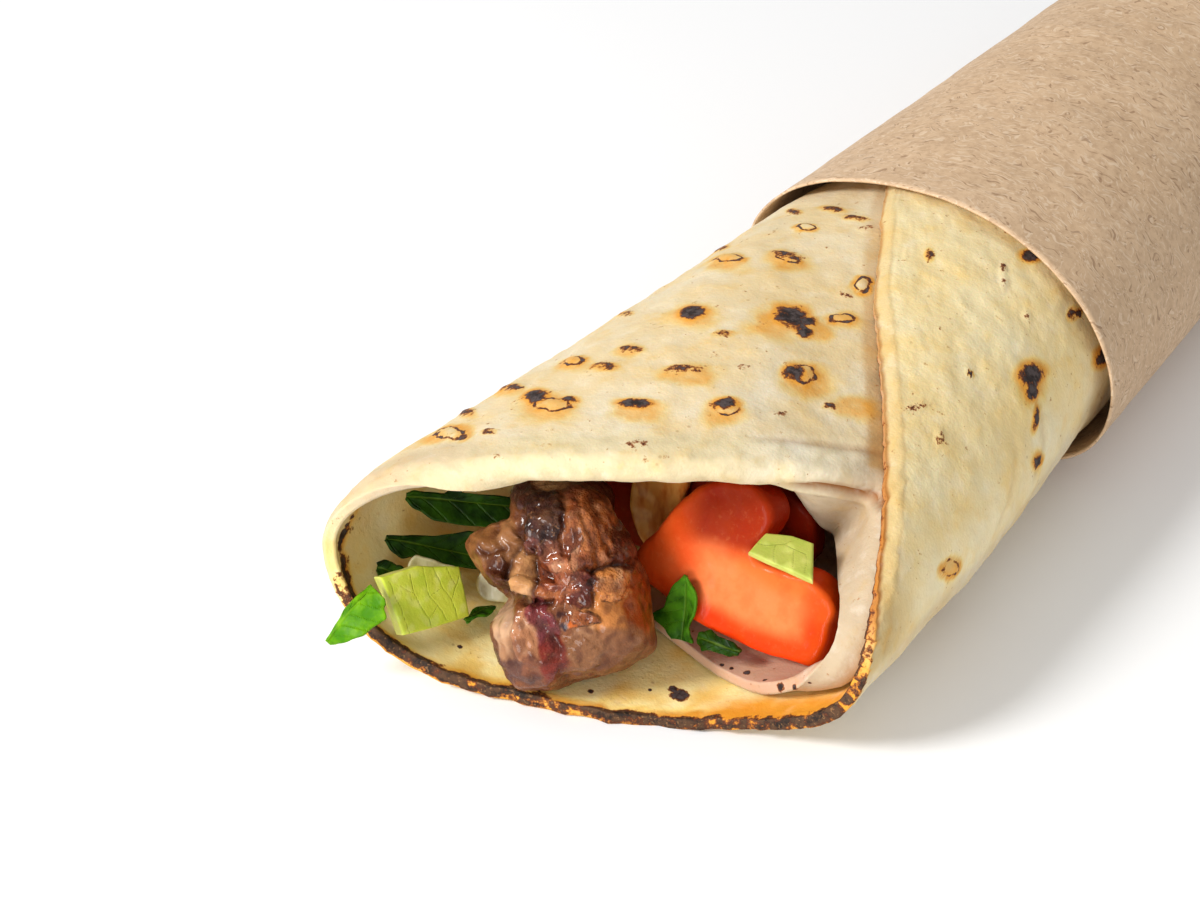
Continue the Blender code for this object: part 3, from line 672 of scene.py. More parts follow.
def bread_tones(spots, turn, y, far, outside):
    """Cream on the top, white along the folded lip, tan inside the outer turn and in a narrow strip beside the
    seam.
    Painted light and shade are in these tones too: the right flap is painted lighter as painted light, where it
    turns from the key lamp, with painted shade at its far end, and it is darker near the mouth. The lip is
    painted darker at its left end and the inner flap under the lip darker, both as painted shade. Inside the
    outer turn the mouth's bottom is painted lighter, as painted light over its own yellow. The seam's bevel
    carries painted shade and the strip beside the seam a painted contact shadow. Returns the colours and how
    golden the bread may turn."""
    inner = ~outside
    flap_side = outside * ramped(turn, 352, 362)
    flap_foot = ramped(y, 23.0, 14.0) * ramped(far, 5.0, 1.5) * ramped(rough(spots, 4.0, 31.0), -0.3, 0.3)
    lip = ramped(y - np.array([bread_edge(v) for v in turn]), 9.0, 5.0) * ramped(turn, 300, 180)
    low = inner * ramped(turn, 140, 200) * ramped(turn, 372, 352)
    tone = over(
        np.tile(paint(224, 207, 172), (len(spots), 1)),
        # The right flap: painted lighter as painted light where it turns from the key lamp, darker at its far end
        # as painted shade, and darker near the mouth
        (paint(238, 220, 172), flap_side),
        (paint(242, 226, 184), flap_side * ramped(turn, 384, 366)),
        (paint(228, 208, 158), flap_side * ramped(y, 60.0, 90.0) * ramped(turn, 405, 430)),
        (paint(204, 182, 134), flap_side * ramped(y, 24.0, 12.0)),
        (paint(206, 160, 74), 0.8 * flap_side * flap_foot),
        (paint(220, 203, 162), outside * lip),
        # The lip's left end is painted darker, as painted shade
        (paint(208, 184, 146), outside * lip * ramped(turn, 104, 136)),
        (paint(234, 220, 188), outside * lip * ramped(turn, 76, 66)),
        (paint(202, 186, 146), 0.6 * outside * lip * ramped(rough(spots, 2.0, 43.0), 0.0, 0.5)),
        # The inner flap under the lip is painted darker, as painted shade
        (paint(188, 167, 138), outside * ramped(turn, 58, 44)),
        (paint(216, 196, 166), inner),
        (paint(198, 176, 148), inner * ramped(turn, 60.0, 30.0)),
        (paint(196, 158, 132), inner * ramped(turn, -10.0, -40.0)),
        # The mouth's bottom is painted lighter, as painted light over its own yellow
        (paint(252, 234, 166), low),
        (paint(238, 196, 96), 0.8 * low * ramped(rough(spots, 5.0, 33.0), 0.0, 0.5)),
        (paint(248, 236, 184), 0.7 * low * ramped(rough(spots, 6.5, 37.0), 0.05, 0.5)),
        (paint(232, 160, 56), 0.9 * low * ramped(turn, 284, 304) * ramped(far, 9.0, 3.0)),
    )
    seam = np.array([seam_angle(v) for v in y])
    hem = np.array([hem_width(v) for v in turn]) + HEM_ARC
    strip = outside * ramped(turn - seam, 6.0, 3.0) * (turn < 180) * ramped(far - hem, -1.0, 1.0)
    line = np.interp(turn, (366, 385, 400, 414, 440, 485), (0.9, 0.95, 0.9, 0.75, 0.6, 0.6))
    tone = over(
        tone,
        # A painted contact shadow over the tan strip beside the seam
        (paint(178, 134, 74), strip * np.interp(y, (14, 34, 60, 90), (0.95, 0.85, 0.5, 0.3))),
        # Painted shade on the seam's bevel, which faces the key lamp
        (paint(214, 190, 138), outside * ramped(turn, 366, 385) * ramped(far, 5.0, 3.5)),
        (paint(176, 112, 44), line * ramped(far, 1.3, 0.3) * ramped(turn, 362, 376) * (far < 2.0)),
    )
    toast = np.where(outside, 0.85 - 0.75 * lip, 0.25 + 0.6 * low)
    return tone, np.clip(toast + 0.3 * rough(spots, 22.0, 2.0), 0.0, 1.0)


# Creases where the lip's fold runs into the seam and on the flap beside it: their places as (angle round the
# roll, distance from the free edge), depth, width and the darkness of the painted shade in them
CREASES = (
    (((63, 9.2), (61, 9.6), (58, 10.3), (54.5, 11.5), (50, 12.6), (46, 13.3), (40, 14.0), (34, 14.4)),
     0.85, 0.55, 1.0),
    (((73, 16.2), (69, 16.4), (64, 17.0), (60, 18.0), (55, 18.9), (50, 19.9), (44, 20.8)), 0.22, 0.9, 0.42),
    (((384, 38.4), (372, 40.3), (362, 37.2)), 0.25, 0.9, 0.10),
    (((388, 46), (379, 49), (370, 52), (362, 50)), 0.25, 0.8, 0.20),
)
DEGREE = 0.62


def creases_in(turn, far, outside):
    """Height of the creases at each point, with the swell beside them, and how dark the painted shade in them is.
    A degree round the roll is about 0.62 mm there."""
    flat = np.stack([turn * DEGREE, far], axis=1)
    heights = np.zeros(len(turn))
    shade = np.zeros(len(turn))
    for line, depth, wide, dark in CREASES:
        apart = line_distance(flat, [(angle * DEGREE, distance) for angle, distance in line])
        fade = outside * ramped(turn, line[0][0] + 1.0, line[0][0] - 7.0)
        cut = np.exp(-((apart / wide) ** 2)) * fade
        heights -= depth * cut
        heights += 0.5 * depth * np.exp(-(((apart - 2.4 * wide) / (1.6 * wide)) ** 2)) * fade
        shade = np.maximum(shade, dark * cut)
    return heights, shade


def dress_bread(sheet):
    """Bakes the sheet: its burns, its tones, and the relief of its dough."""
    mesh = sheet.data
    outer_first = press_seam(mesh)
    divide_raw_edge(mesh)
    spots = points_of(mesh)
    arrows = normals_of(mesh)
    turn = kept(mesh, "turn")
    y = kept(mesh, "along")
    far = kept(mesh, "far")
    index = np.arange(len(spots))
    between = index >= 2 * ONE_SIDE
    outside = ((index < ONE_SIDE) == outer_first) & ~between

    char, halo, ring, raised = blister_marks(spots, turn, y, far, outside)
    rim_char, rim_halo, crumbs = rim_marks(spots, turn, far, outside, between)
    tone, toast = bread_tones(spots, turn, y, far, outside)
    creases, shade = creases_in(turn, far, outside)
    keep(mesh, "char", np.clip(np.maximum(char, rim_char), 0.0, 1.0))
    keep(mesh, "halo", np.clip(np.maximum(halo, rim_halo), 0.0, 1.0))
    keep(mesh, "ring", ring)
    keep(mesh, "toast", toast)
    keep(mesh, "edge", ramped(far, 4.5, 2.5) * ramped(turn, 150, 158))
    # The creases' painted shade goes over the tones
    keep_colour(mesh, "tone", over(tone, (paint(146, 90, 38), shade)))

    swells = 0.30 * rough(spots, 9.0, 1.0) + 0.18 * rough(spots, 3.2, 5.0) + 0.08 * rough(spots, 1.3, 9.0)
    swells -= 0.14 * np.abs(rough(spots * np.array((1.0, 1.0, 1.6)), 3.6, 41.0)) * outside
    calm = np.where(outside, 1.0, 0.45) * (0.4 + 0.6 * ramped(far, 0.0, 1.2))
    push(mesh, arrows, (swells + 0.36 * raised * outside + crumbs + creases) * calm)


bread = rolled_sheet()
dress_bread(bread)


# ---------------------------------------------------------------------------------------------------------------
# Packed filling. Chopped liver, onion and greens pressed together, which fill the roll behind the mouth.
# It is spooned along the bread before the bread is rolled round it.
# ---------------------------------------------------------------------------------------------------------------


def ball(name, segments, rings, shape, mat, *node_names):
    """A closed lump: a sphere whose points move to shape(direction)."""
    bm = bmesh.new()
    bmesh.ops.create_uvsphere(bm, u_segments=segments, v_segments=rings, radius=1.0)
    for vert in bm.verts:
        vert.co = shape(vert.co.copy())
    bm.normal_update()
    bmesh.ops.recalc_face_normals(bm, faces=bm.faces)
    return finish(name, bm, mat, *node_names)


def core_point(direction):
    """The roll's own section, smaller and lumpy, blunt at both ends."""
    front = 41.0
    back = BREAD_END - 4.0
    phi = math.degrees(math.atan2(direction.y, direction.x))
    lean = max(min(direction.z, 1.0), -1.0)
    reach = (1.0 - abs(lean) ** 5.0) ** 0.35
    y = (front + back) / 2.0 - (back - front) / 2.0 * power(lean, 0.6)
    inset = 5.4 + 0.5 * math.sin(math.radians(5.0 * phi) + y / 7.0)
    x, z = section(phi, y, inset)
    level = lift(y) + WIDEST * height(y)
    spot = Vector((middle(y) + (x - middle(y)) * reach, y, level + (z - level) * reach))
    spot.y += 2.5 * noise.noise(spot * 0.11) * (1.0 if y < 70.0 else 0.0)
    spot.y += 1.2 * noise.noise(spot * 0.32) * (1.0 if y < 60.0 else 0.0)
    return placed(*spot)


def filling_material():
    mat = new_material("chopped_filling_finish", 0.45, coat=0.3, coat_roughness=0.25)
    where = spots_in(mat)
    bits = add(mat, "TexVoronoi", {"Vector": where, "Scale": 240.0}).outputs["Color"]
    pick = add(mat, "SeparateColor", {"Color": bits}).outputs[0]
    colour = mix(mat, span(mat, pick, 0.30, 0.5), paint(52, 26, 16), paint(96, 50, 28))
    colour = mix(mat, span(mat, pick, 0.72, 0.8), colour, paint(128, 86, 48))
    colour = mix(mat, span(mat, pick, 0.9, 0.94), colour, paint(50, 70, 20))
    into(mat, "Base Color", colour)
    into(mat, "Normal", bump(mat, cloud(mat, where, 1.6, 4.0), 0.8))
    return mat


core = ball("packed_filling", 150, 110, core_point, filling_material(), "filling_core")


# ---------------------------------------------------------------------------------------------------------------
# Grilled liver. A folded chunk of lamb liver, seared dark on its top and glazed by its own juices, standing in
# the mouth, and a smaller bit behind it. Both lie loose between the bread and the tomato.
# ---------------------------------------------------------------------------------------------------------------


def axes(right, up_hint):
    """Turning matrix with its X along right, its Y near up_hint and its Z across both."""
    u = Vector(right).normalized()
    n = u.cross(Vector(up_hint)).normalized()
    v = n.cross(u)
    return Matrix((u, v, n)).transposed()


LIVER_TURN = axes((0.84, 0.55, 0.0), (-0.32, 0.49, 0.81))
LIVER_CENTRE = Vector((-6.0, 4.0, 15.0))


def liver_point(direction):
    """An uneven outline, wide at its foot, with a lobe out to the left."""
    outline = (
        (-180, 10.8), (-163, 8.6), (-153, 11.9), (-143, 13.7), (-130, 15.3), (-117, 16.6), (-102, 16.0),
        (-83, 14.0), (-60, 14.5), (-38, 15.6), (-20, 12.6), (-5, 11.6), (18, 10.6), (54, 11.2), (66, 13.2),
        (84, 14.8), (106, 15.6), (120, 15.6), (132, 12.3), (146, 14.4), (157, 16.1), (170, 13.4), (180, 10.8),
    )
    angle = math.degrees(math.atan2(direction.y, direction.x))
    wide = table(outline, angle)
    if abs(angle) < 176.0:
        wide = eased(outline, angle, 4.0)
    reach = wide * math.hypot(direction.x, direction.y) ** 0.8
    high = 10.0 * power(direction.z, 0.9)
    high *= 1.0 - 0.38 * smoothstep(136.0, 144.0, angle) * smoothstep(176.0, 168.0, angle)
    high += 1.3 * noise.noise(direction * 2.1 + Vector((3.0, 1.0, 7.0)))
    across = Vector((reach * math.cos(math.radians(angle)), reach * math.sin(math.radians(angle)), high))
    spot = LIVER_TURN @ across + LIVER_CENTRE
    spot.z = max(spot.z, 2.6)
    return placed(*spot)


def liver_material(name):
    """Seared liver under its own juices, which lie thicker on the crust."""
    mat = new_material(name, 0.42, coat=0.32, flesh=0.03, flesh_reach=(1.0, 0.3, 0.15), coat_roughness=0.08,
                       shine=0.12)
    where = spots_in(mat)
    tone = attribute(mat, "tone", True)
    crust = attribute(mat, "crust")
    patch = cloud(mat, where, 2.6, 4.0, 0.6, 0.3)
    fleck = cloud(mat, where, 0.8, 4.0, 0.6)
    fine = cloud(mat, where, 0.30, 3.0)
    seared = sums(mat, "MULTIPLY", span(mat, patch, 0.46, 0.70), sums(mat, "ADD", crust, 0.25))
    colour = tinted(mat, seared, tone, (0.50, 0.36, 0.34))
    dark = sums(mat, "MULTIPLY", span(mat, fleck, 0.56, 0.68), crust)
    colour = tinted(mat, dark, colour, (0.50, 0.34, 0.32))
    pale = sums(mat, "MULTIPLY", span(mat, fleck, 0.42, 0.30, 0.0, 0.8), sums(mat, "ADD", crust, 0.15))
    colour = mix(mat, pale, colour, mix(mat, 0.3, colour, paint(214, 150, 96)))
    into(mat, "Base Color", colour)
    into(mat, "Coat Weight", sums(mat, "ADD", sums(mat, "MULTIPLY", crust, 0.5), 0.2))
    relief = bump(mat, sums(mat, "MULTIPLY", patch, sums(mat, "ADD", crust, 0.15)), 0.8)
    relief = bump(mat, sums(mat, "MULTIPLY", fleck, sums(mat, "ADD", crust, 0.08)), 0.7, before=relief)
    relief = bump(mat, sums(mat, "MULTIPLY", fine, sums(mat, "ADD", crust, 0.2)), 0.20, before=relief)
    into(mat, "Normal", relief)
    return mat


def facets(spots, size):
    """Distance to the nearest of scattered places, square-cornered, so that it makes flat facets."""
    return np.array([noise.voronoi(Vector(p) / size, distance_metric="CHEBYCHEV", exponent=1.0)[0][0]
                     for p in spots])


def dress_liver(liver, base, creases=(), swellings=(), patches=()):
    """Folds the chunk and paints it, with painted shade along its creases and in its hollows and painted light on
    its raised parts. A crease is a line, its depth and its width. A swelling is a place, its size and its height.
    A patch is a place, its half sizes, its colour and how crusty it is."""
    mesh = liver.data
    spots = points_of(mesh)
    arrows = normals_of(mesh)
    face = (spots - np.array(LIVER_CENTRE)) @ np.array(LIVER_TURN)
    shown = ramped(face[:, 2], -2.0, 2.0)
    u = face[:, 0] + 0.7 * rough(spots, 2.4, 11.0) + 0.25 * rough(spots, 0.8, 13.0)
    v = face[:, 1] + 0.7 * rough(spots, 2.4, 17.0) + 0.25 * rough(spots, 0.8, 19.0)
    tone = np.tile(base, (len(spots), 1))
    crust = np.full(len(spots), 0.35)
    for at_u, at_v, long, tall, colour, crusty in patches:
        amount = 0.92 * ramped(np.hypot((u - at_u) / long, (v - at_v) / tall), 1.2, 0.84) * shown
        tone = over(tone, (paint(*colour), amount))
        crust += (crusty - crust) * amount
    relief = 0.35 * rough(spots, 5.5, 8.0)
    for at_u, at_v, size, high in swellings:
        relief += high * np.exp(-((u - at_u) ** 2 + (v - at_v) ** 2) / size ** 2) * shown
    for line, depth, width in creases:
        apart = line_distance(np.stack([u, v], axis=1), line) / width
        relief -= depth * np.exp(-(apart ** 2)) * shown
        # Painted shade along the crease
        tone = over(tone, (paint(66, 30, 22), 0.6 * min(depth, 1.0) * np.exp(-((apart * 1.3) ** 2)) * shown))
    relief += (0.12 + 0.26 * crust) * (1.0 - 2.0 * np.abs(rough(spots, 1.9, 6.0))) - 0.1
    relief += 0.30 * crust * rough(spots, 0.9, 3.0)
    relief += 1.1 * (0.45 - facets(spots, 4.8)) * shown
    tone = over(
        tone,
        # Painted shade in the hollows of the relief
        (paint(50, 20, 10), 0.6 * ramped(-relief, 0.15, 1.1) * shown),
        # Painted light on the raised parts of the relief
        (paint(224, 160, 108), 0.16 * ramped(relief, 0.3, 1.2) * shown),
        (paint(84, 40, 28), 0.5 * ramped(rough(spots, 1.5, 51.0), 0.05, 0.5) * shown),
    )
    light = ramped(tone.sum(axis=1), 0.25, 0.8)
    tone = over(tone, (paint(240, 200, 164), 0.4 * light * ramped(rough(spots, 2.1, 53.0), 0.1, 0.5) * shown))
    push(mesh, arrows, relief)
    keep_colour(mesh, "tone", tone * np.array((0.80, 0.70, 0.60)))
    keep(mesh, "crust", crust)


# The chunk's folds and burns, across and up from its centre
LIVER_CREASES = (
    (((-6.7, 10.0), (-7.0, 5.6), (-8.2, 3.0), (-9.2, -0.4)), 1.0, 0.7),
    (((-4.6, 4.6), (-4.2, 0.4), (-5.0, -2.0)), 0.7, 0.5),
    (((-10.8, -1.0), (-6.5, -2.1), (-2.2, -2.3)), 1.2, 0.6),
    (((-0.8, 12.5), (-0.9, 7.0), (-0.2, 4.6)), 0.5, 0.5), (((3.2, 2.4), (6.0, 2.8), (9.0, 3.2)), 1.0, 0.6),
    (((3.9, 2.2), (3.6, -2.6)), 0.6, 0.5),
    (((-5.2, -2.5), (-2.8, -6.0), (-1.2, -9.0), (-0.4, -13.5)), 0.55, 1.0),
    (((-8.0, -3.0), (-8.5, -7.0), (-7.6, -11.5)), 0.5, 0.45),
    (((1.2, 12.0), (2.4, 7.6), (4.6, 3.4)), 0.30, 0.35), (((3.0, 12.0), (4.2, 8.0), (6.0, 4.4)), 0.25, 0.3),
    (((-14.5, 6.4), (-11.6, 4.6), (-9.0, 4.8)), 0.5, 0.4),
    (((-9.9, 8.6), (-9.6, 6.0), (-8.8, 4.0)), 0.4, 0.35),
)
LIVER_SWELLINGS = (
    (0.6, 1.8, 2.6, 0.9), (6.4, 0.2, 2.2, 0.9), (-3.4, 9.2, 2.4, 0.6), (3.0, 8.2, 3.2, 0.7),
    (-6.5, 1.4, 1.7, 0.3), (6.0, -6.4, 4.4, 0.6), (-9.6, -6.0, 1.8, 0.5), (-6.0, -9.0, 2.4, 0.5),
    (-1.4, 4.0, 1.1, 0.5),
)
LIVER_PATCHES = (
    (3.0, 12.6, 3.2, 1.6, (136, 74, 46), 0.4), (3.0, 7.6, 4.2, 5.2, (172, 98, 46), 0.8),
    (4.2, 8.4, 0.8, 3.4, (190, 114, 58), 0.6), (2.0, 7.0, 0.6, 3.0, (192, 122, 70), 0.6),
    (0.6, 5.8, 1.0, 2.4, (120, 62, 34), 0.9), (8.0, 5.2, 1.9, 4.6, (92, 36, 16), 0.7),
    (8.7, 5.2, 1.0, 1.2, (140, 92, 70), 0.8), (7.4, -4.2, 5.6, 3.6, (206, 138, 74), 0.15),
    (9.8, -2.2, 2.4, 4.2, (150, 64, 8), 0.2), (6.2, 0.2, 2.6, 2.4, (232, 154, 84), 0.8),
    (7.2, -9.0, 6.2, 3.2, (140, 96, 66), 0.1), (6.4, -11.4, 6.2, 1.6, (128, 82, 50), 0.1),
    (2.4, -8.6, 2.4, 3.4, (142, 98, 64), 0.3), (-0.4, 1.6, 4.0, 3.9, (158, 80, 44), 0.9),
    (0.9, 3.4, 0.8, 2.0, (190, 132, 100), 0.5), (-0.9, 2.6, 1.1, 0.8, (196, 128, 92), 0.6),
    (2.6, 0.6, 1.8, 1.3, (116, 46, 40), 0.9), (3.6, 0.3, 0.6, 0.5, (60, 54, 58), 0.6),
    (-2.2, -0.9, 2.2, 0.7, (180, 108, 62), 0.7), (1.6, -1.9, 1.8, 1.2, (88, 24, 8), 0.7),
    (1.8, -4.4, 2.4, 1.0, (150, 80, 34), 0.8), (-11.4, 6.2, 4.6, 3.6, (140, 96, 56), 0.05),
    (-8.6, 6.6, 1.3, 2.4, (152, 108, 70), 0.05), (-12.4, 4.2, 1.6, 0.7, (104, 66, 34), 0.1),
    (-10.2, 1.8, 1.5, 2.4, (82, 38, 12), 0.4), (-6.6, 1.4, 2.0, 3.4, (216, 166, 112), 0.15),
    (-7.4, 3.6, 0.9, 1.4, (190, 140, 92), 0.2), (-10.6, -7.6, 2.4, 6.4, (110, 72, 54), 0.1),
    (-12.2, -6.0, 1.0, 5.0, (54, 34, 30), 0.2), (-10.6, -11.0, 1.6, 1.8, (84, 60, 58), 0.4),
    # The next line's first two patches, pale and without crust, are a painted highlight along the lower left lobe
    (-8.9, -5.6, 1.2, 3.6, (200, 168, 140), 0.0), (-8.4, -8.8, 0.9, 1.8, (176, 134, 100), 0.0),
    (-5.8, -7.6, 2.0, 4.6, (186, 132, 96), 0.25), (-7.4, -12.4, 3.8, 1.7, (100, 66, 58), 0.3),
    (-5.0, -11.2, 1.6, 1.6, (134, 84, 60), 0.3), (-4.6, -3.4, 1.7, 2.0, (136, 44, 58), 0.7),
    (-2.8, -6.2, 1.4, 2.8, (126, 50, 64), 0.7), (-2.0, -10.4, 1.8, 3.6, (130, 36, 22), 0.4),
    (-0.9, -5.4, 0.45, 0.45, (40, 34, 52), 0.4), (-0.9, -4.0, 0.5, 0.4, (60, 26, 30), 0.4),
    (0.6, -5.2, 0.8, 0.4, (214, 110, 26), 0.4), (-6.4, 12.8, 1.7, 1.9, (76, 28, 18), 0.9),
    (-3.4, 9.4, 2.8, 3.9, (46, 8, 10), 1.0), (-6.0, 8.0, 0.5, 1.0, (34, 22, 30), 0.8),
    (-5.0, 5.4, 1.4, 1.2, (118, 64, 58), 0.7), (-2.0, 5.6, 1.3, 0.9, (130, 76, 56), 0.8),
    (-2.6, 14.4, 2.0, 1.0, (206, 172, 128), 0.4),
)

liver = ball("liver_chunk", 240, 170, liver_point, liver_material("grilled_liver_finish"), "liver_main")
dress_liver(liver, paint(136, 84, 50), LIVER_CREASES, LIVER_SWELLINGS, LIVER_PATCHES)


def back_liver_point(direction):
    """A small round bit with a bulge to its front left and a dent at its right."""
    turn = Matrix.Rotation(math.radians(20.0), 3, "Z")
    centre = Vector((-14.6, 20.8, 15.2))
    swell = 1.0
    for toward, high, spread in (((-0.6, -0.8, 0.4), 0.2, 0.5), ((0.8, -0.4, 0.2), -0.15, 0.5)):
        apart = (direction - Vector(toward).normalized()).length
        swell += high * math.exp(-((apart / spread) ** 2))
    swell += 0.05 * noise.noise(direction * 2.3 + centre)
    reach = Vector((direction.x * 5.0, direction.y * 3.4, direction.z * 4.6))
    return placed(*(turn @ reach * swell + centre))


liver_bit = ball("liver_bit", 80, 50, back_liver_point, liver_material("grilled_liver_bit_finish"),
                 "liver_back")
dress_liver(liver_bit, paint(120, 62, 40))


# ---------------------------------------------------------------------------------------------------------------
# Tomato. Wedges of ripe tomato: salmon flesh, a deep red skin along the lower edge, and a wet shine.
# They are cut by hand and laid beside the liver.
# ---------------------------------------------------------------------------------------------------------------


def cut_outline(outline, thickness, edge, handles):
    """Mesh of a closed outline (mm, in its own plane) through the piece's thickness, with a rounded edge."""
    curve = bpy.data.curves.new("cut_outline", "CURVE")
    curve.dimensions = "2D"
    curve.fill_mode = "BOTH"
    curve.resolution_u = 10
    spline = curve.splines.new("BEZIER")
    spline.bezier_points.add(len(outline) - 1)
    for point, (x, y) in zip(spline.bezier_points, outline):
        point.co = (x * MM, y * MM, 0.0)
        point.handle_left_type = handles
        point.handle_right_type = handles
    spline.use_cyclic_u = True
    curve.extrude = (thickness / 2.0 - edge) * MM
    curve.bevel_depth = edge * MM
    curve.bevel_resolution = 4
    curve.offset = -edge * MM
    drawn = bpy.data.objects.new("cut_outline", curve)
    bpy.context.scene.collection.objects.link(drawn)
    bpy.context.view_layer.update()
    graph = bpy.context.evaluated_depsgraph_get()
    flat = bpy.data.meshes.new_from_object(drawn.evaluated_get(graph))
    bpy.data.objects.remove(drawn, do_unlink=True)
    bpy.data.curves.remove(curve)
    bm = bmesh.new()
    bm.from_mesh(flat)
    bpy.data.meshes.remove(flat)
    bmesh.ops.remove_doubles(bm, verts=bm.verts, dist=0.01 * MM)
    return bm


def slab(name, node_name, outline, thickness, edge, centre, right, up_hint, mat, voxel, handles="AUTO"):
    """A cut piece with an even mesh, laid in its place. Returns it with each point's place across, up and through
    its own plane."""
    piece = finish(name, cut_outline(outline, thickness, edge, handles), mat, node_name)
    even = piece.modifiers.new("Even", "REMESH")
    even.mode = "VOXEL"
    even.voxel_size = voxel * MM
    even.use_smooth_shade = True
    mesh = settle(piece)
    if not mesh.materials:
        mesh.materials.append(mat)
    local = np.empty(len(mesh.vertices) * 3)
    mesh.vertices.foreach_get("co", local)
    local = local.reshape(-1, 3) / MM
    laid = (local @ np.array(axes(right, up_hint)).T + np.array(centre) + TO_PART) * MM
    mesh.vertices.foreach_set("co", laid.reshape(-1))
    mesh.update()
    return piece, local


def tomato_material(name):
    mat = new_material(name, 0.45, coat=0.08, flesh=0.08, flesh_reach=(1.0, 0.3, 0.1), coat_roughness=0.08,
                       shine=0.05)
    where = spots_in(mat)
    tone = attribute(mat, "tone", True)
    patch = cloud(mat, where, 4.0, 3.0)
    grain = cloud(mat, where, 0.8, 4.0, 0.6)
    colour = tinted(mat, span(mat, patch, 0.42, 0.66, 0.0, 0.6), tone, (0.95, 0.66, 0.50))
    paler = mix(mat, 0.3, colour, paint(250, 170, 110))
    colour = mix(mat, span(mat, grain, 0.55, 0.72, 0.0, 0.18), colour, paler)
    into(mat, "Base Color", colour)
    relief = bump(mat, patch, 0.25)
    into(mat, "Normal", bump(mat, grain, 0.08, before=relief))
    return mat


# The large wedge: a long body with an arm up to the lip
wedge = (
    (-17.2, -0.8), (-14.8, -3.0), (-10.8, -4.9), (-5.6, -6.7), (2, -7.8), (9.6, -7.7), (12.9, -7.3),
    (13.9, -4.6), (14.3, -1.4), (14.4, 1.8), (12.0, 4.0), (10.0, 4.8), (5.9, 5), (1.0, 6.2), (2.4, 9),
    (2.8, 12), (0.6, 14.8), (-3.4, 15.8), (-8.4, 14.0), (-12, 9.8), (-15, 4.6),
)
tomato, local = slab("tomato_wedge", "tomato_front", wedge, 7.0, 1.1, (15.6, 18.5, 14.1), (1.0, 0.06, 0.03),
                     (0.0, 0.4, 1.0), tomato_material("tomato_flesh_finish"), 0.3)
across, up, through = local.T
inside = line_distance(local[:, :2], (*wedge, wedge[0]))
skin = paint(230, 56, 2)
tone = over(
    np.tile(paint(236, 108, 46), (len(local), 1)),
    (skin, 0.9 * ramped(inside, 5.4, 2.0) * ramped(up, 0.5, -2.5)),
    (skin, 0.8 * ramped(np.abs(through), 3.3, 2.4)),
    (paint(238, 132, 78), 0.7 * ramped(inside, 2.0, 5.0)),
    (paint(206, 70, 18), 0.8 * ramped(across, -4.0, -10.0)),
    (paint(194, 66, 4), 0.8 * ramped(across, 8.0, 13.0)),
    # The upper arm is painted dark red, as the painted shadow of the lip over it
    (paint(140, 28, 0), 0.92 * ramped(up, 3.5, 7.5) * ramped(across, -12.0, -7.0)),
)
keep_colour(tomato.data, "tone", tone)
spots = points_of(tomato.data)
uneven = 0.35 * rough(spots, 6.0, 3.0) + 0.12 * rough(spots, 2.2, 7.0) - 0.05
push(tomato.data, normals_of(tomato.data), uneven)

# Wedges behind it: piece, node and finish, colour, thickness, rounding, place and outline. Their colour is a
# deep red darkened as painted shade
hidden_wedges = (
    ("tomato_wedge_behind", "tomato_back", "tomato_behind_finish", (150, 36, 10), 5.0, 1.0, (14.0, 33.4, 15.6),
     ((-5, -6), (0, -7), (4, -5.5), (4.4, 0), (3.6, 3.2), (-1.2, 6.0), (-5, 6.6))),
    ("tomato_wedge_left", "tomato_left", "tomato_left_finish", (150, 38, 16), 4.0, 0.9, (-5.0, 30.2, 13.6),
     ((-8, -7.6), (0, -8.4), (7, -7), (7.5, 2), (5.4, 8.4), (-2, 8.8), (-8, 7))),
)
for name, node_name, finish_name, colour, thickness, edge, centre, outline in hidden_wedges:
    tomato_behind, local = slab(name, node_name, outline, thickness, edge, centre, (1.0, 0.1, 0.0),
                                (0.0, 0.1, 1.0), tomato_material(finish_name), 0.35)
    keep_colour(tomato_behind.data, "tone", np.tile(paint(*colour), (len(local), 1)))


# ---------------------------------------------------------------------------------------------------------------
# Onion. Strips and bits of raw white onion, glassy and pale, tinted by the juices.
# They are sliced and scattered over the liver.
# ---------------------------------------------------------------------------------------------------------------


def onion_material(name, colour, deeper):
    mat = new_material(name, 0.25, coat=0.5, flesh=0.35, flesh_reach=(1.0, 0.9, 0.6), coat_roughness=0.1)
    where = spots_in(mat)
    lines = cloud(mat, stretched(mat, where, (1.0, 1.0, 0.4)), 2.2, 3.0)
    into(mat, "Base Color", mix(mat, span(mat, lines, 0.40, 0.64), paint(*colour), paint(*deeper)))
    into(mat, "Normal", bump(mat, lines, 0.15))
    return mat


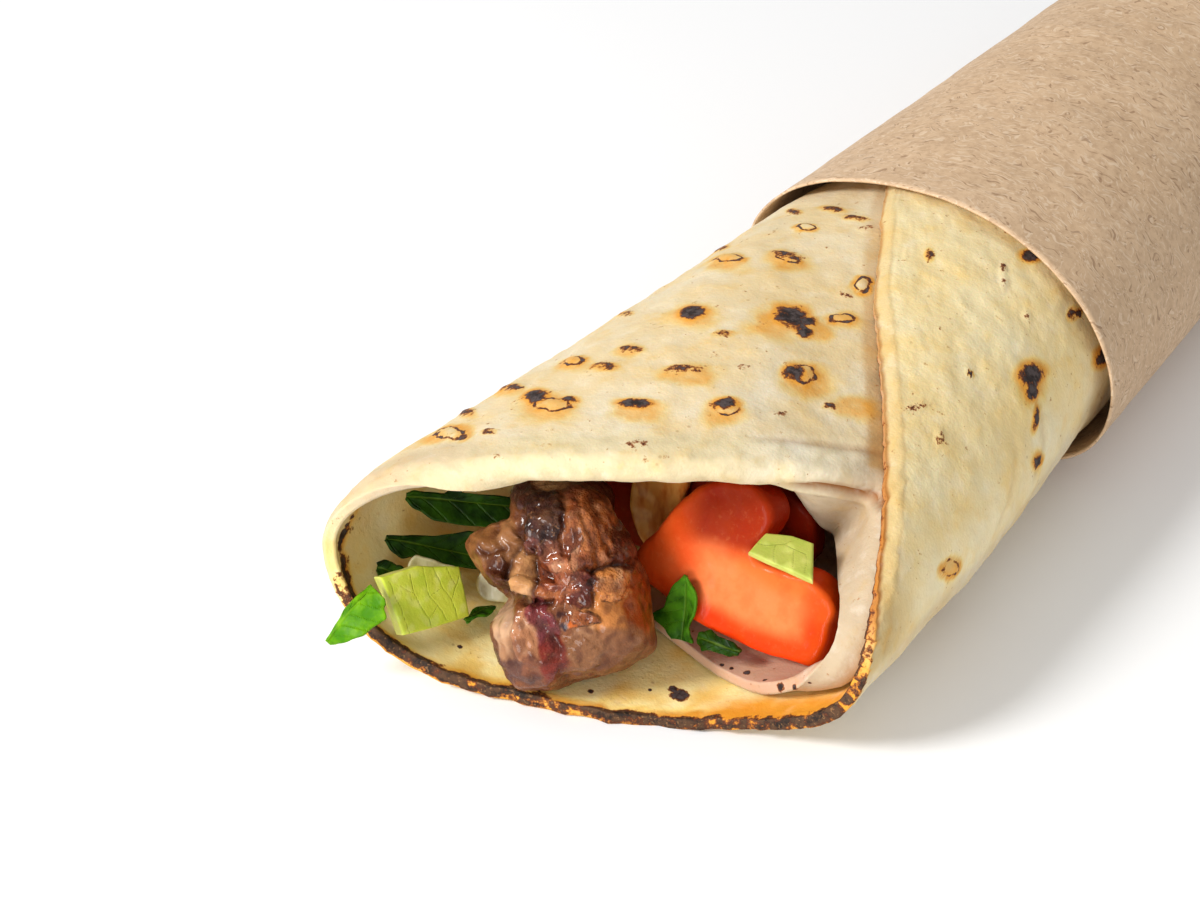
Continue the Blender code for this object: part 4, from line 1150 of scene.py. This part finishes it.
# Slices: node, outline, thickness, rounding, place, the ways its outline's sides run, and two colours
onions = (
    # The strip's orange is its tint from the juices, made brighter as painted light where it lies in shade
    ("onion_strip", ((-2.7, -7), (0, -7.6), (2.4, -7), (2.7, 0), (3.2, 8), (0, 8.8), (-3.2, 7.6)),
     1.8, 0.5, (-3.6, 25.7, 15.8), (1.0, 0.1, 0.0), (0.0, 0.1, 1.0), (255, 178, 90), (220, 124, 44)),
    ("onion_left", ((-3.4, -1.1), (0, -1.8), (3.4, -1.4), (3.6, 0.4), (1.0, 1.7), (-1.4, 2.6), (-3.2, 2.9)),
     1.0, 0.3, (-26.9, 0.1, 10.0), (0.8, 0.6, 0.0), (-0.2, 0.4, 1.0), (214, 206, 160), (178, 168, 116)),
    ("onion_low", ((-3.2, -2.0), (0, -2.6), (2.8, -2.2), (2.8, 0.4), (0.2, 2.6), (-3.2, 2.0)),
     2.2, 0.5, (-20.0, 7.2, 6.3), (0.85, 0.5, -0.1), (-0.2, 0.5, 1.0), (224, 216, 176), (188, 176, 126)),
    ("onion_top", ((-9, -1.4), (-3, -1.8), (3, -1.6), (9, -1.9), (9.4, 0.9), (3, 1.6), (-3, 1.4), (-9.4, 0.8)),
     1.4, 0.4, (-21.2, 16.6, 22.4), (0.8, 0.55, 0.0), (-0.2, 0.5, 1.0), (178, 186, 110), (140, 150, 70)),
)
for name, outline, thickness, edge, centre, right, up_hint, colour, deeper in onions:
    onion, local = slab(name + "_slice", name, outline, thickness, edge, centre, right, up_hint,
                        onion_material(name + "_finish", colour, deeper), 0.2)
    waves = 0.10 * rough(points_of(onion.data), 2.0, 3.0) - 0.05
    push(onion.data, normals_of(onion.data), waves)


# ---------------------------------------------------------------------------------------------------------------
# Lettuce. Squares cut from crisp pale green leaf, with branching veins.
# They are dropped in at the left of the mouth and on top of the tomato.
# ---------------------------------------------------------------------------------------------------------------


def lettuce_material(name):
    mat = new_material(name, 0.42, coat=0.05, flesh=0.25, flesh_reach=(0.6, 1.0, 0.2), shine=0.3)
    where = spots_in(mat)
    tone = attribute(mat, "tone", True)
    patch = cloud(mat, where, 3.0, 3.0)
    grain = cloud(mat, where, 0.7, 4.0, 0.6)
    colour = tinted(mat, span(mat, patch, 0.40, 0.66, 0.0, 0.6), tone, (0.78, 0.90, 0.62))
    vein = span(mat, attribute(mat, "vein"), 0.35, 0.9, 0.0, 0.6)
    colour = mix(mat, vein, colour, paint(112, 122, 20))
    into(mat, "Base Color", colour)
    relief = bump(mat, attribute(mat, "vein"), -0.05)
    into(mat, "Normal", bump(mat, grain, 0.10, before=relief))
    return mat


def draw_veins(mesh, local, lines):
    """Marks branching veins: straight stretches in the piece's own plane, each with its half width."""
    vein = np.zeros(len(local))
    bent = local[:, :2] + 0.35 * np.stack([rough(local, 2.0, 3.0), rough(local, 2.0, 9.0)], axis=1)
    for start, end, wide in lines:
        vein = np.maximum(vein, np.clip(1.2 - stretch_distance(bent, start, end) / wide, 0.0, 1.0))
    keep(mesh, "vein", vein)


# Cuts: piece, node, green, outline, thickness, rounding, place, the ways its outline's sides run, and veins
lettuces = (
    ("lettuce_square", "lettuce_left", (196, 204, 64),
     ((-6.2, 4.5), (-5.3, 0.2), (-4.6, -4.6), (1.0, -4.7), (6.6, -4.5), (6.6, 3.0), (0.0, 4.7)), 2.8, 0.4,
     (-25.2, -5.9, 10.5), (0.42, 0.9, -0.12), (-0.5, 0.1, 0.8),
     (((-5.2, 3.6), (-4.1, -0.5), 0.10), ((-4.1, -0.5), (-3.5, -4.8), 0.09), ((-1.7, 3.6), (-1.6, 0.9), 0.12),
      ((-1.6, 0.9), (0.0, -2.9), 0.11), ((0.0, -2.9), (-0.2, -4.7), 0.09), ((0.5, 4.2), (1.0, -0.1), 0.09),
      ((1.0, -0.1), (2.9, -4.0), 0.09), ((2.2, 4.0), (2.9, 0.9), 0.12), ((2.9, 0.9), (4.0, -1.5), 0.12),
      ((4.0, -1.5), (4.6, -4.4), 0.10), ((4.4, 3.4), (5.3, 0.4), 0.08), ((-1.6, 0.9), (-3.6, 2.4), 0.07),
      ((2.9, 0.9), (1.0, -0.1), 0.06), ((4.0, -1.5), (6.2, 1.6), 0.08), ((0.0, -2.9), (1.9, -1.8), 0.07))),
    ("lettuce_chip", "lettuce_right", (176, 180, 80),
     ((-4.6, -3.4), (0.6, -3.3), (6.0, -3.2), (2.6, 2.8), (-0.7, 2.4), (-4.2, 0.9)), 1.2, 0.4,
     (21.9, 17.6, 23.9), (1.0, 0.0, -0.08), (0.0, 1.0, 0.24),
     (((-4.0, -1.6), (-0.6, 0.2), 0.10), ((-0.6, 0.2), (2.6, 0.6), 0.09), ((-0.6, 0.2), (0.4, 2.3), 0.07),
      ((-1.8, -0.4), (-0.4, -3.0), 0.08), ((1.0, 0.4), (2.4, -2.8), 0.08), ((2.6, 0.6), (4.2, -2.8), 0.06))),
    ("lettuce_shred", "lettuce_back", (196, 204, 64),
     ((-5.2, -5), (0.0, -6), (4.6, -5.0), (5.2, 1.2), (2.0, 5.4), (-4.4, 6.0)), 0.9, 0.3,
     (10.8, 38.2, 17.6), (1.0, 0.1, 0.0), (0.0, 0.1, 1.0), (((-4.0, -4.0), (3.6, 4.4), 0.12),)),
)
for name, node_name, green, outline, thickness, edge, centre, right, up_hint, veins in lettuces:
    lettuce, local = slab(name, node_name, outline, thickness, edge, centre, right, up_hint,
                          lettuce_material(name + "_finish"), 0.15, handles="VECTOR")
    cut = ramped(np.abs(local[:, 2]), thickness / 2.0 - 0.25, thickness / 2.0 - 0.6)
    tone = over(
        np.tile(paint(*green), (len(local), 1)),
        (paint(216, 216, 120), 0.5 * ramped(rough(local, 1.6, 27.0), 0.0, 0.4)),
        (paint(202, 196, 112), 0.8 * cut),
    )
    keep_colour(lettuce.data, "tone", tone)
    draw_veins(lettuce.data, local, veins)
    waves = 0.12 * rough(points_of(lettuce.data), 3.0, 3.0) - 0.06
    push(lettuce.data, normals_of(lettuce.data), waves)


# ---------------------------------------------------------------------------------------------------------------
# Parsley. Flat leaves of fresh parsley, some dark and some bright, with toothed edges and a middle vein.
# They are strewn over the filling and stick out of the mouth.
# ---------------------------------------------------------------------------------------------------------------


def parsley_material(name, deep, fresh):
    mat = new_material(name, 0.42, flesh=0.08, flesh_reach=(0.5, 1.0, 0.1), shine=0.10)
    where = spots_in(mat)
    patch = cloud(mat, where, 2.6, 3.0)
    colour = mix(mat, span(mat, patch, 0.32, 0.68), paint(*deep), paint(*fresh))
    vein = span(mat, attribute(mat, "vein"), 0.3, 0.9, 0.0, 0.28)
    colour = mix(mat, vein, colour, mix(mat, 0.5, colour, paint(160, 190, 60)))
    into(mat, "Base Color", colour)
    relief = bump(mat, attribute(mat, "vein"), -0.15)
    into(mat, "Normal", bump(mat, patch, 0.25, before=relief))
    return mat


def leaf(name, base, tip, up_hint, upper, lower, mat, bow, cup):
    """A thin wavy blade from its stalk to its tip, with a half width on each side read along it, and toothed. It
    arches by its bow along its length and by its cup across it."""
    columns = 90
    rows = 31
    start = Vector(base)
    run = Vector(tip) - start
    turn = axes(run, up_hint)
    bm = bmesh.new()
    bmesh.ops.create_grid(bm, x_segments=columns - 1, y_segments=rows - 1, size=1.0)
    vein_layer = bm.verts.layers.float.new("vein")
    for vert in bm.verts:
        u = (vert.co.x + 1.0) / 2.0
        v = vert.co.y
        width = eased(upper if v > 0 else lower, u, 0.02)
        width *= 1.0 + 0.07 * math.sin(17.0 * u + 5.0 * math.sin(6.0 * u)) * smoothstep(0.4, 1.0, abs(v))
        high = bow * math.sin(math.pi * u) - cup * v * v
        high += 0.3 * math.sin(9.0 * u + 2.0 * v) * abs(v)
        side = abs((u * 5.0 + abs(v) * 1.1) % 1.0 - 0.5) * 2.0
        vert[vein_layer] = max(1.0 - abs(v) * width / 0.28, 0.75 - side * 5.0, 0.0)
        vert.co = placed(*(start + turn @ Vector((u * run.length, v * width, high))))
    bm.normal_update()
    bmesh.ops.recalc_face_normals(bm, faces=bm.faces)
    piece = finish(name + "_leaf", bm, mat, name)
    wall = piece.modifiers.new("Thickness", "SOLIDIFY")
    wall.thickness = 0.45 * MM
    wall.offset = 0.0
    settle(piece)
    return piece


# Leaves: node, slot, foot, tip, the way the blade faces, its half widths on both sides, greens, bow and cup
dark = ((16, 40, 4), (40, 74, 6))
middling = ((34, 78, 8), (76, 132, 22))
bright = ((66, 124, 2), (108, 160, 6))
tilted = (-0.3, 0.5, 0.8)
strip = ((0.0, 0.9), (0.3, 1.3), (0.85, 1.2), (1.0, 0.4))
thin = ((0.0, 0.8), (0.5, 1.3), (1.0, 0.2))
jagged = ((0.0, 0.6), (0.2, 1.5), (0.5, 1.1), (0.8, 0.9), (1.0, 0.25))
leaves = (
    ("parsley_top", "parsley_dark", (-17.7, 14.8, 16.4), (-33.9, 2.9, 19.7), tilted,
     ((0.0, 0.6), (0.35, 1.4), (0.6, 1.2), (0.66, 2.1), (0.72, 0.7), (0.95, 0.8), (1.0, 0.2)),
     ((0.0, 0.8), (0.2, 3.0), (0.38, 3.6), (0.56, 3.3), (0.8, 2.9), (0.94, 1.6), (1.0, 0.3)), dark, 0.4, 0.4),
    ("parsley_mid", "parsley_dark", (-19.5, 8.8, 9.4), (-34.7, -1.4, 14.4), tilted,
     ((0.0, 1.0), (0.2, 3.4), (0.38, 3.7), (0.5, 2.5), (0.62, 1.6), (0.82, 0.9), (1.0, 0.2)),
     ((0.0, 0.2), (0.14, 0.6), (0.28, 1.9), (0.5, 2.4), (0.78, 1.7), (0.85, 2.6), (0.93, 1.8), (1.0, 0.2)),
     dark, 0.6, 0.4),
    ("parsley_small", "parsley_dark", (-30.0, -3.3, 10.4), (-34.6, -3.9, 10.7), tilted, strip, strip, dark,
     0.2, 0.2),
    ("parsley_tip", "parsley_fresh", (-29.0, -12.0, 14.8), (-32.3, -18.8, 7.8), (0.95, -0.1, -0.3),
     ((0.0, 2.5), (0.15, 4.3), (0.31, 4.6), (0.56, 3.7), (0.86, 1.9), (1.0, 0.3)),
     ((0.0, 0.5), (0.2, 0.6), (0.45, 0.9), (0.75, 0.5), (1.0, 0.2)), bright, 0.9, 0.05),
    ("parsley_under", "parsley_fresh", (-19.8, 4.2, 4.2), (-21.0, -1.0, 4.6), (1.0, 0.0, 0.2), thin, thin,
     middling, 0.2, 0.2),
    ("parsley_right", "parsley_fresh", (9.2, 10.6, 6.7), (8.1, 13.2, 16.3), (-1.0, 0.0, -0.2),
     ((0.0, 1.4), (0.08, 2.6), (0.2, 5.0), (0.28, 5.4), (0.4, 3.8), (0.54, 2.9), (0.86, 1.7), (1.0, 0.2)),
     ((0.0, 1.8), (0.21, 0.9), (0.44, 1.9), (0.7, 1.7), (0.85, 1.3), (1.0, 0.2)), middling, -0.4, -0.4),
    ("parsley_low", "parsley_dark", (11.6, 11.0, 8.0), (18.7, 10.7, 8.7), (0.0, 0.7, 0.7), jagged, jagged,
     dark, 0.2, 0.2),
)
for name, slot_name, base, tip, up_hint, upper, lower, greens, bow, cup in leaves:
    sprig = leaf(name, base, tip, up_hint, upper, lower, parsley_material(name + "_finish", *greens), bow, cup)


# ---------------------------------------------------------------------------------------------------------------
# Paper sleeve. A tube of brown kraft paper, soft and a little crumpled, with fibres showing in it.
# The roll is slid into it from the open end, and its far end is pressed flat.
# ---------------------------------------------------------------------------------------------------------------

PAPER = 0.4
PAPER_FRONT = 85.6
PAPER_TAPER = 190.0
PAPER_HEM = 211.0
PAPER_END = 223.0
SEAL_HALF = 40.5
SEAL_LEVEL = 13.0


def paper_point(phi, y):
    """Middle of the paper: loose round the roll, and pressed to a flat seal at its far end."""
    x, z = section(phi, min(y, PAPER_TAPER), 0.0, 1.5, PAPER / 2.0, 0.9)
    loose = smoothstep(-90.0, 0.0, 90.0 - abs(phi - 90.0))
    slack = 0.35 * math.sin(math.radians(3.0 * phi) + y / 19.0) * loose
    c = math.cos(math.radians(phi))
    s = math.sin(math.radians(phi))
    flat = smoothstep(PAPER_TAPER, PAPER_HEM, y)
    wide = middle(PAPER_TAPER) + SEAL_HALF * (1.0 - 2.0 * abs(math.degrees(math.atan2(abs(s), c))) / 180.0)
    level = SEAL_LEVEL + 0.8 * power(s, 0.3)
    front = -0.10 * (x - middle(y)) * (1.0 - smoothstep(PAPER_FRONT, PAPER_FRONT + 30.0, y))
    x = x + (wide - x) * flat
    z = max(z + slack * (1.0 - flat), PAPER / 2.0)
    z = z + (level - z) * flat
    return placed(x, y + front, z)


def paper_material():
    mat = new_material("kraft_paper_finish", 0.62)
    where = spots_in(mat)
    wide = cloud(mat, where, 14.0, 4.0)
    grain = cloud(mat, where, 1.4, 5.0, 0.65)
    colour = mix(mat, span(mat, wide, 0.35, 0.65), paint(204, 172, 136), paint(212, 180, 144))
    colour = mix(mat, span(mat, grain, 0.40, 0.68, 0.0, 0.55), colour, paint(176, 142, 108))
    bends = add(mat, "TexNoise", {"Vector": where, "Scale": 260.0, "Detail": 1.0}).outputs["Color"]
    bent = add(mat, "VectorMath", {0: bends, 1: (0.006, 0.006, 0.006)}, operation="MULTIPLY").outputs[0]
    bent = add(mat, "VectorMath", {0: where, 1: bent}, operation="ADD").outputs[0]
    fibre_sets = ((0.5, (226, 202, 172), 0.59), (2.2, (222, 196, 166), 0.60), (1.3, (136, 98, 66), 0.62))
    for turn, shade, low in fibre_sets:
        fibres = cloud(mat, stretched(mat, bent, (0.12, 1.0, 0.6), (0.0, 0.0, turn)), 0.50, 1.0)
        colour = mix(mat, span(mat, fibres, low, low + 0.09, 0.0, 0.6), colour, paint(*shade))
    into(mat, "Base Color", colour)
    relief = bump(mat, wide, 0.5)
    into(mat, "Normal", bump(mat, grain, 0.05, before=relief))
    return mat


def make_sleeve():
    """The tube is a grid whose first and last columns are joined, with its wall added at the end."""
    around = 250
    rows = 140
    bm = bmesh.new()
    bmesh.ops.create_grid(bm, x_segments=around, y_segments=rows - 1, size=1.0)
    for vert in bm.verts:
        column = round((vert.co.x + 1.0) / 2.0 * around) % around
        part = (vert.co.y + 1.0) / 2.0
        vert.co = paper_point(360.0 * column / around, PAPER_FRONT + (PAPER_END - PAPER_FRONT) * part)
    bmesh.ops.remove_doubles(bm, verts=bm.verts, dist=0.01 * MM)
    bm.normal_update()
    bmesh.ops.recalc_face_normals(bm, faces=bm.faces)
    sleeve = finish("paper_tube", bm, paper_material(), "paper_sleeve")
    spots = points_of(sleeve.data)
    crumple = 0.22 * rough(spots, 16.0, 3.0) + 0.10 * (1.0 - 2.0 * np.abs(rough(spots, 9.0, 5.0)))
    crumple *= ramped(spots[:, 2], 0.5, 4.0) * ramped(spots[:, 1], PAPER_HEM, PAPER_TAPER)
    push(sleeve.data, normals_of(sleeve.data), crumple)
    wall = sleeve.modifiers.new("Thickness", "SOLIDIFY")
    wall.thickness = PAPER * MM
    wall.offset = 0.0
    settle(sleeve)
    return sleeve


sleeve = make_sleeve()


# ---------------------------------------------------------------------------------------------------------------
# Studio. A plain white table, a white surround, a soft key lamp at the front left and a weak low one in front.
# ---------------------------------------------------------------------------------------------------------------

floor_mat = new_material("studio_floor", 0.9)
floor_mat.node_tree.nodes["Principled BSDF"].inputs["Base Color"].default_value = (0.95, 0.95, 0.95, 1.0)
bm = bmesh.new()
bmesh.ops.create_grid(bm, x_segments=1, y_segments=1, size=3.0)
floor_mesh = bpy.data.meshes.new("studio_table")
bm.to_mesh(floor_mesh)
bm.free()
floor_mesh.materials.append(floor_mat)
floor = bpy.data.objects.new("studio_table", floor_mesh)
bpy.context.scene.collection.objects.link(floor)

world = bpy.data.worlds.new("studio_air")
world.use_nodes = True
world.node_tree.nodes["Background"].inputs["Color"].default_value = (1.0, 1.0, 1.0, 1.0)
world.node_tree.nodes["Background"].inputs["Strength"].default_value = 0.56
bpy.context.scene.world = world


def lamp(name, place, size, watts):
    """A round soft lamp that shines on the mouth of the roll."""
    light = bpy.data.lights.new(name, "AREA")
    light.shape = "DISK"
    light.size = size
    light.energy = watts
    obj = bpy.data.objects.new(name, light)
    obj.location = place
    obj.rotation_mode = "QUATERNION"
    obj.rotation_quaternion = (Vector((0.0, -0.06, 0.02)) - Vector(place)).to_track_quat("-Z", "Y")
    bpy.context.scene.collection.objects.link(obj)


lamp("key_lamp", (-0.48, -0.80, 0.66), 0.30, 10.5)
lamp("fill_lamp", (0.10, -0.95, 0.16), 0.40, 3.5)

camera_data = bpy.data.cameras.new("photo_camera")
camera_data.lens = 78.0
camera_data.sensor_width = 36.0
camera_data.clip_start = 0.01
camera = bpy.data.objects.new("photo_camera", camera_data)
camera.location = (0.14949, -0.337916, 0.249145)
azimuth = math.radians(33.29)
elevation = math.radians(36.0)
ahead = Vector((-math.sin(azimuth) * math.cos(elevation), math.cos(azimuth) * math.cos(elevation),
                -math.sin(elevation)))
camera.rotation_mode = "QUATERNION"
camera.rotation_quaternion = ahead.to_track_quat("-Z", "Y")
bpy.context.scene.collection.objects.link(camera)
bpy.context.scene.camera = camera
bpy.context.scene.view_settings.view_transform = "Standard"
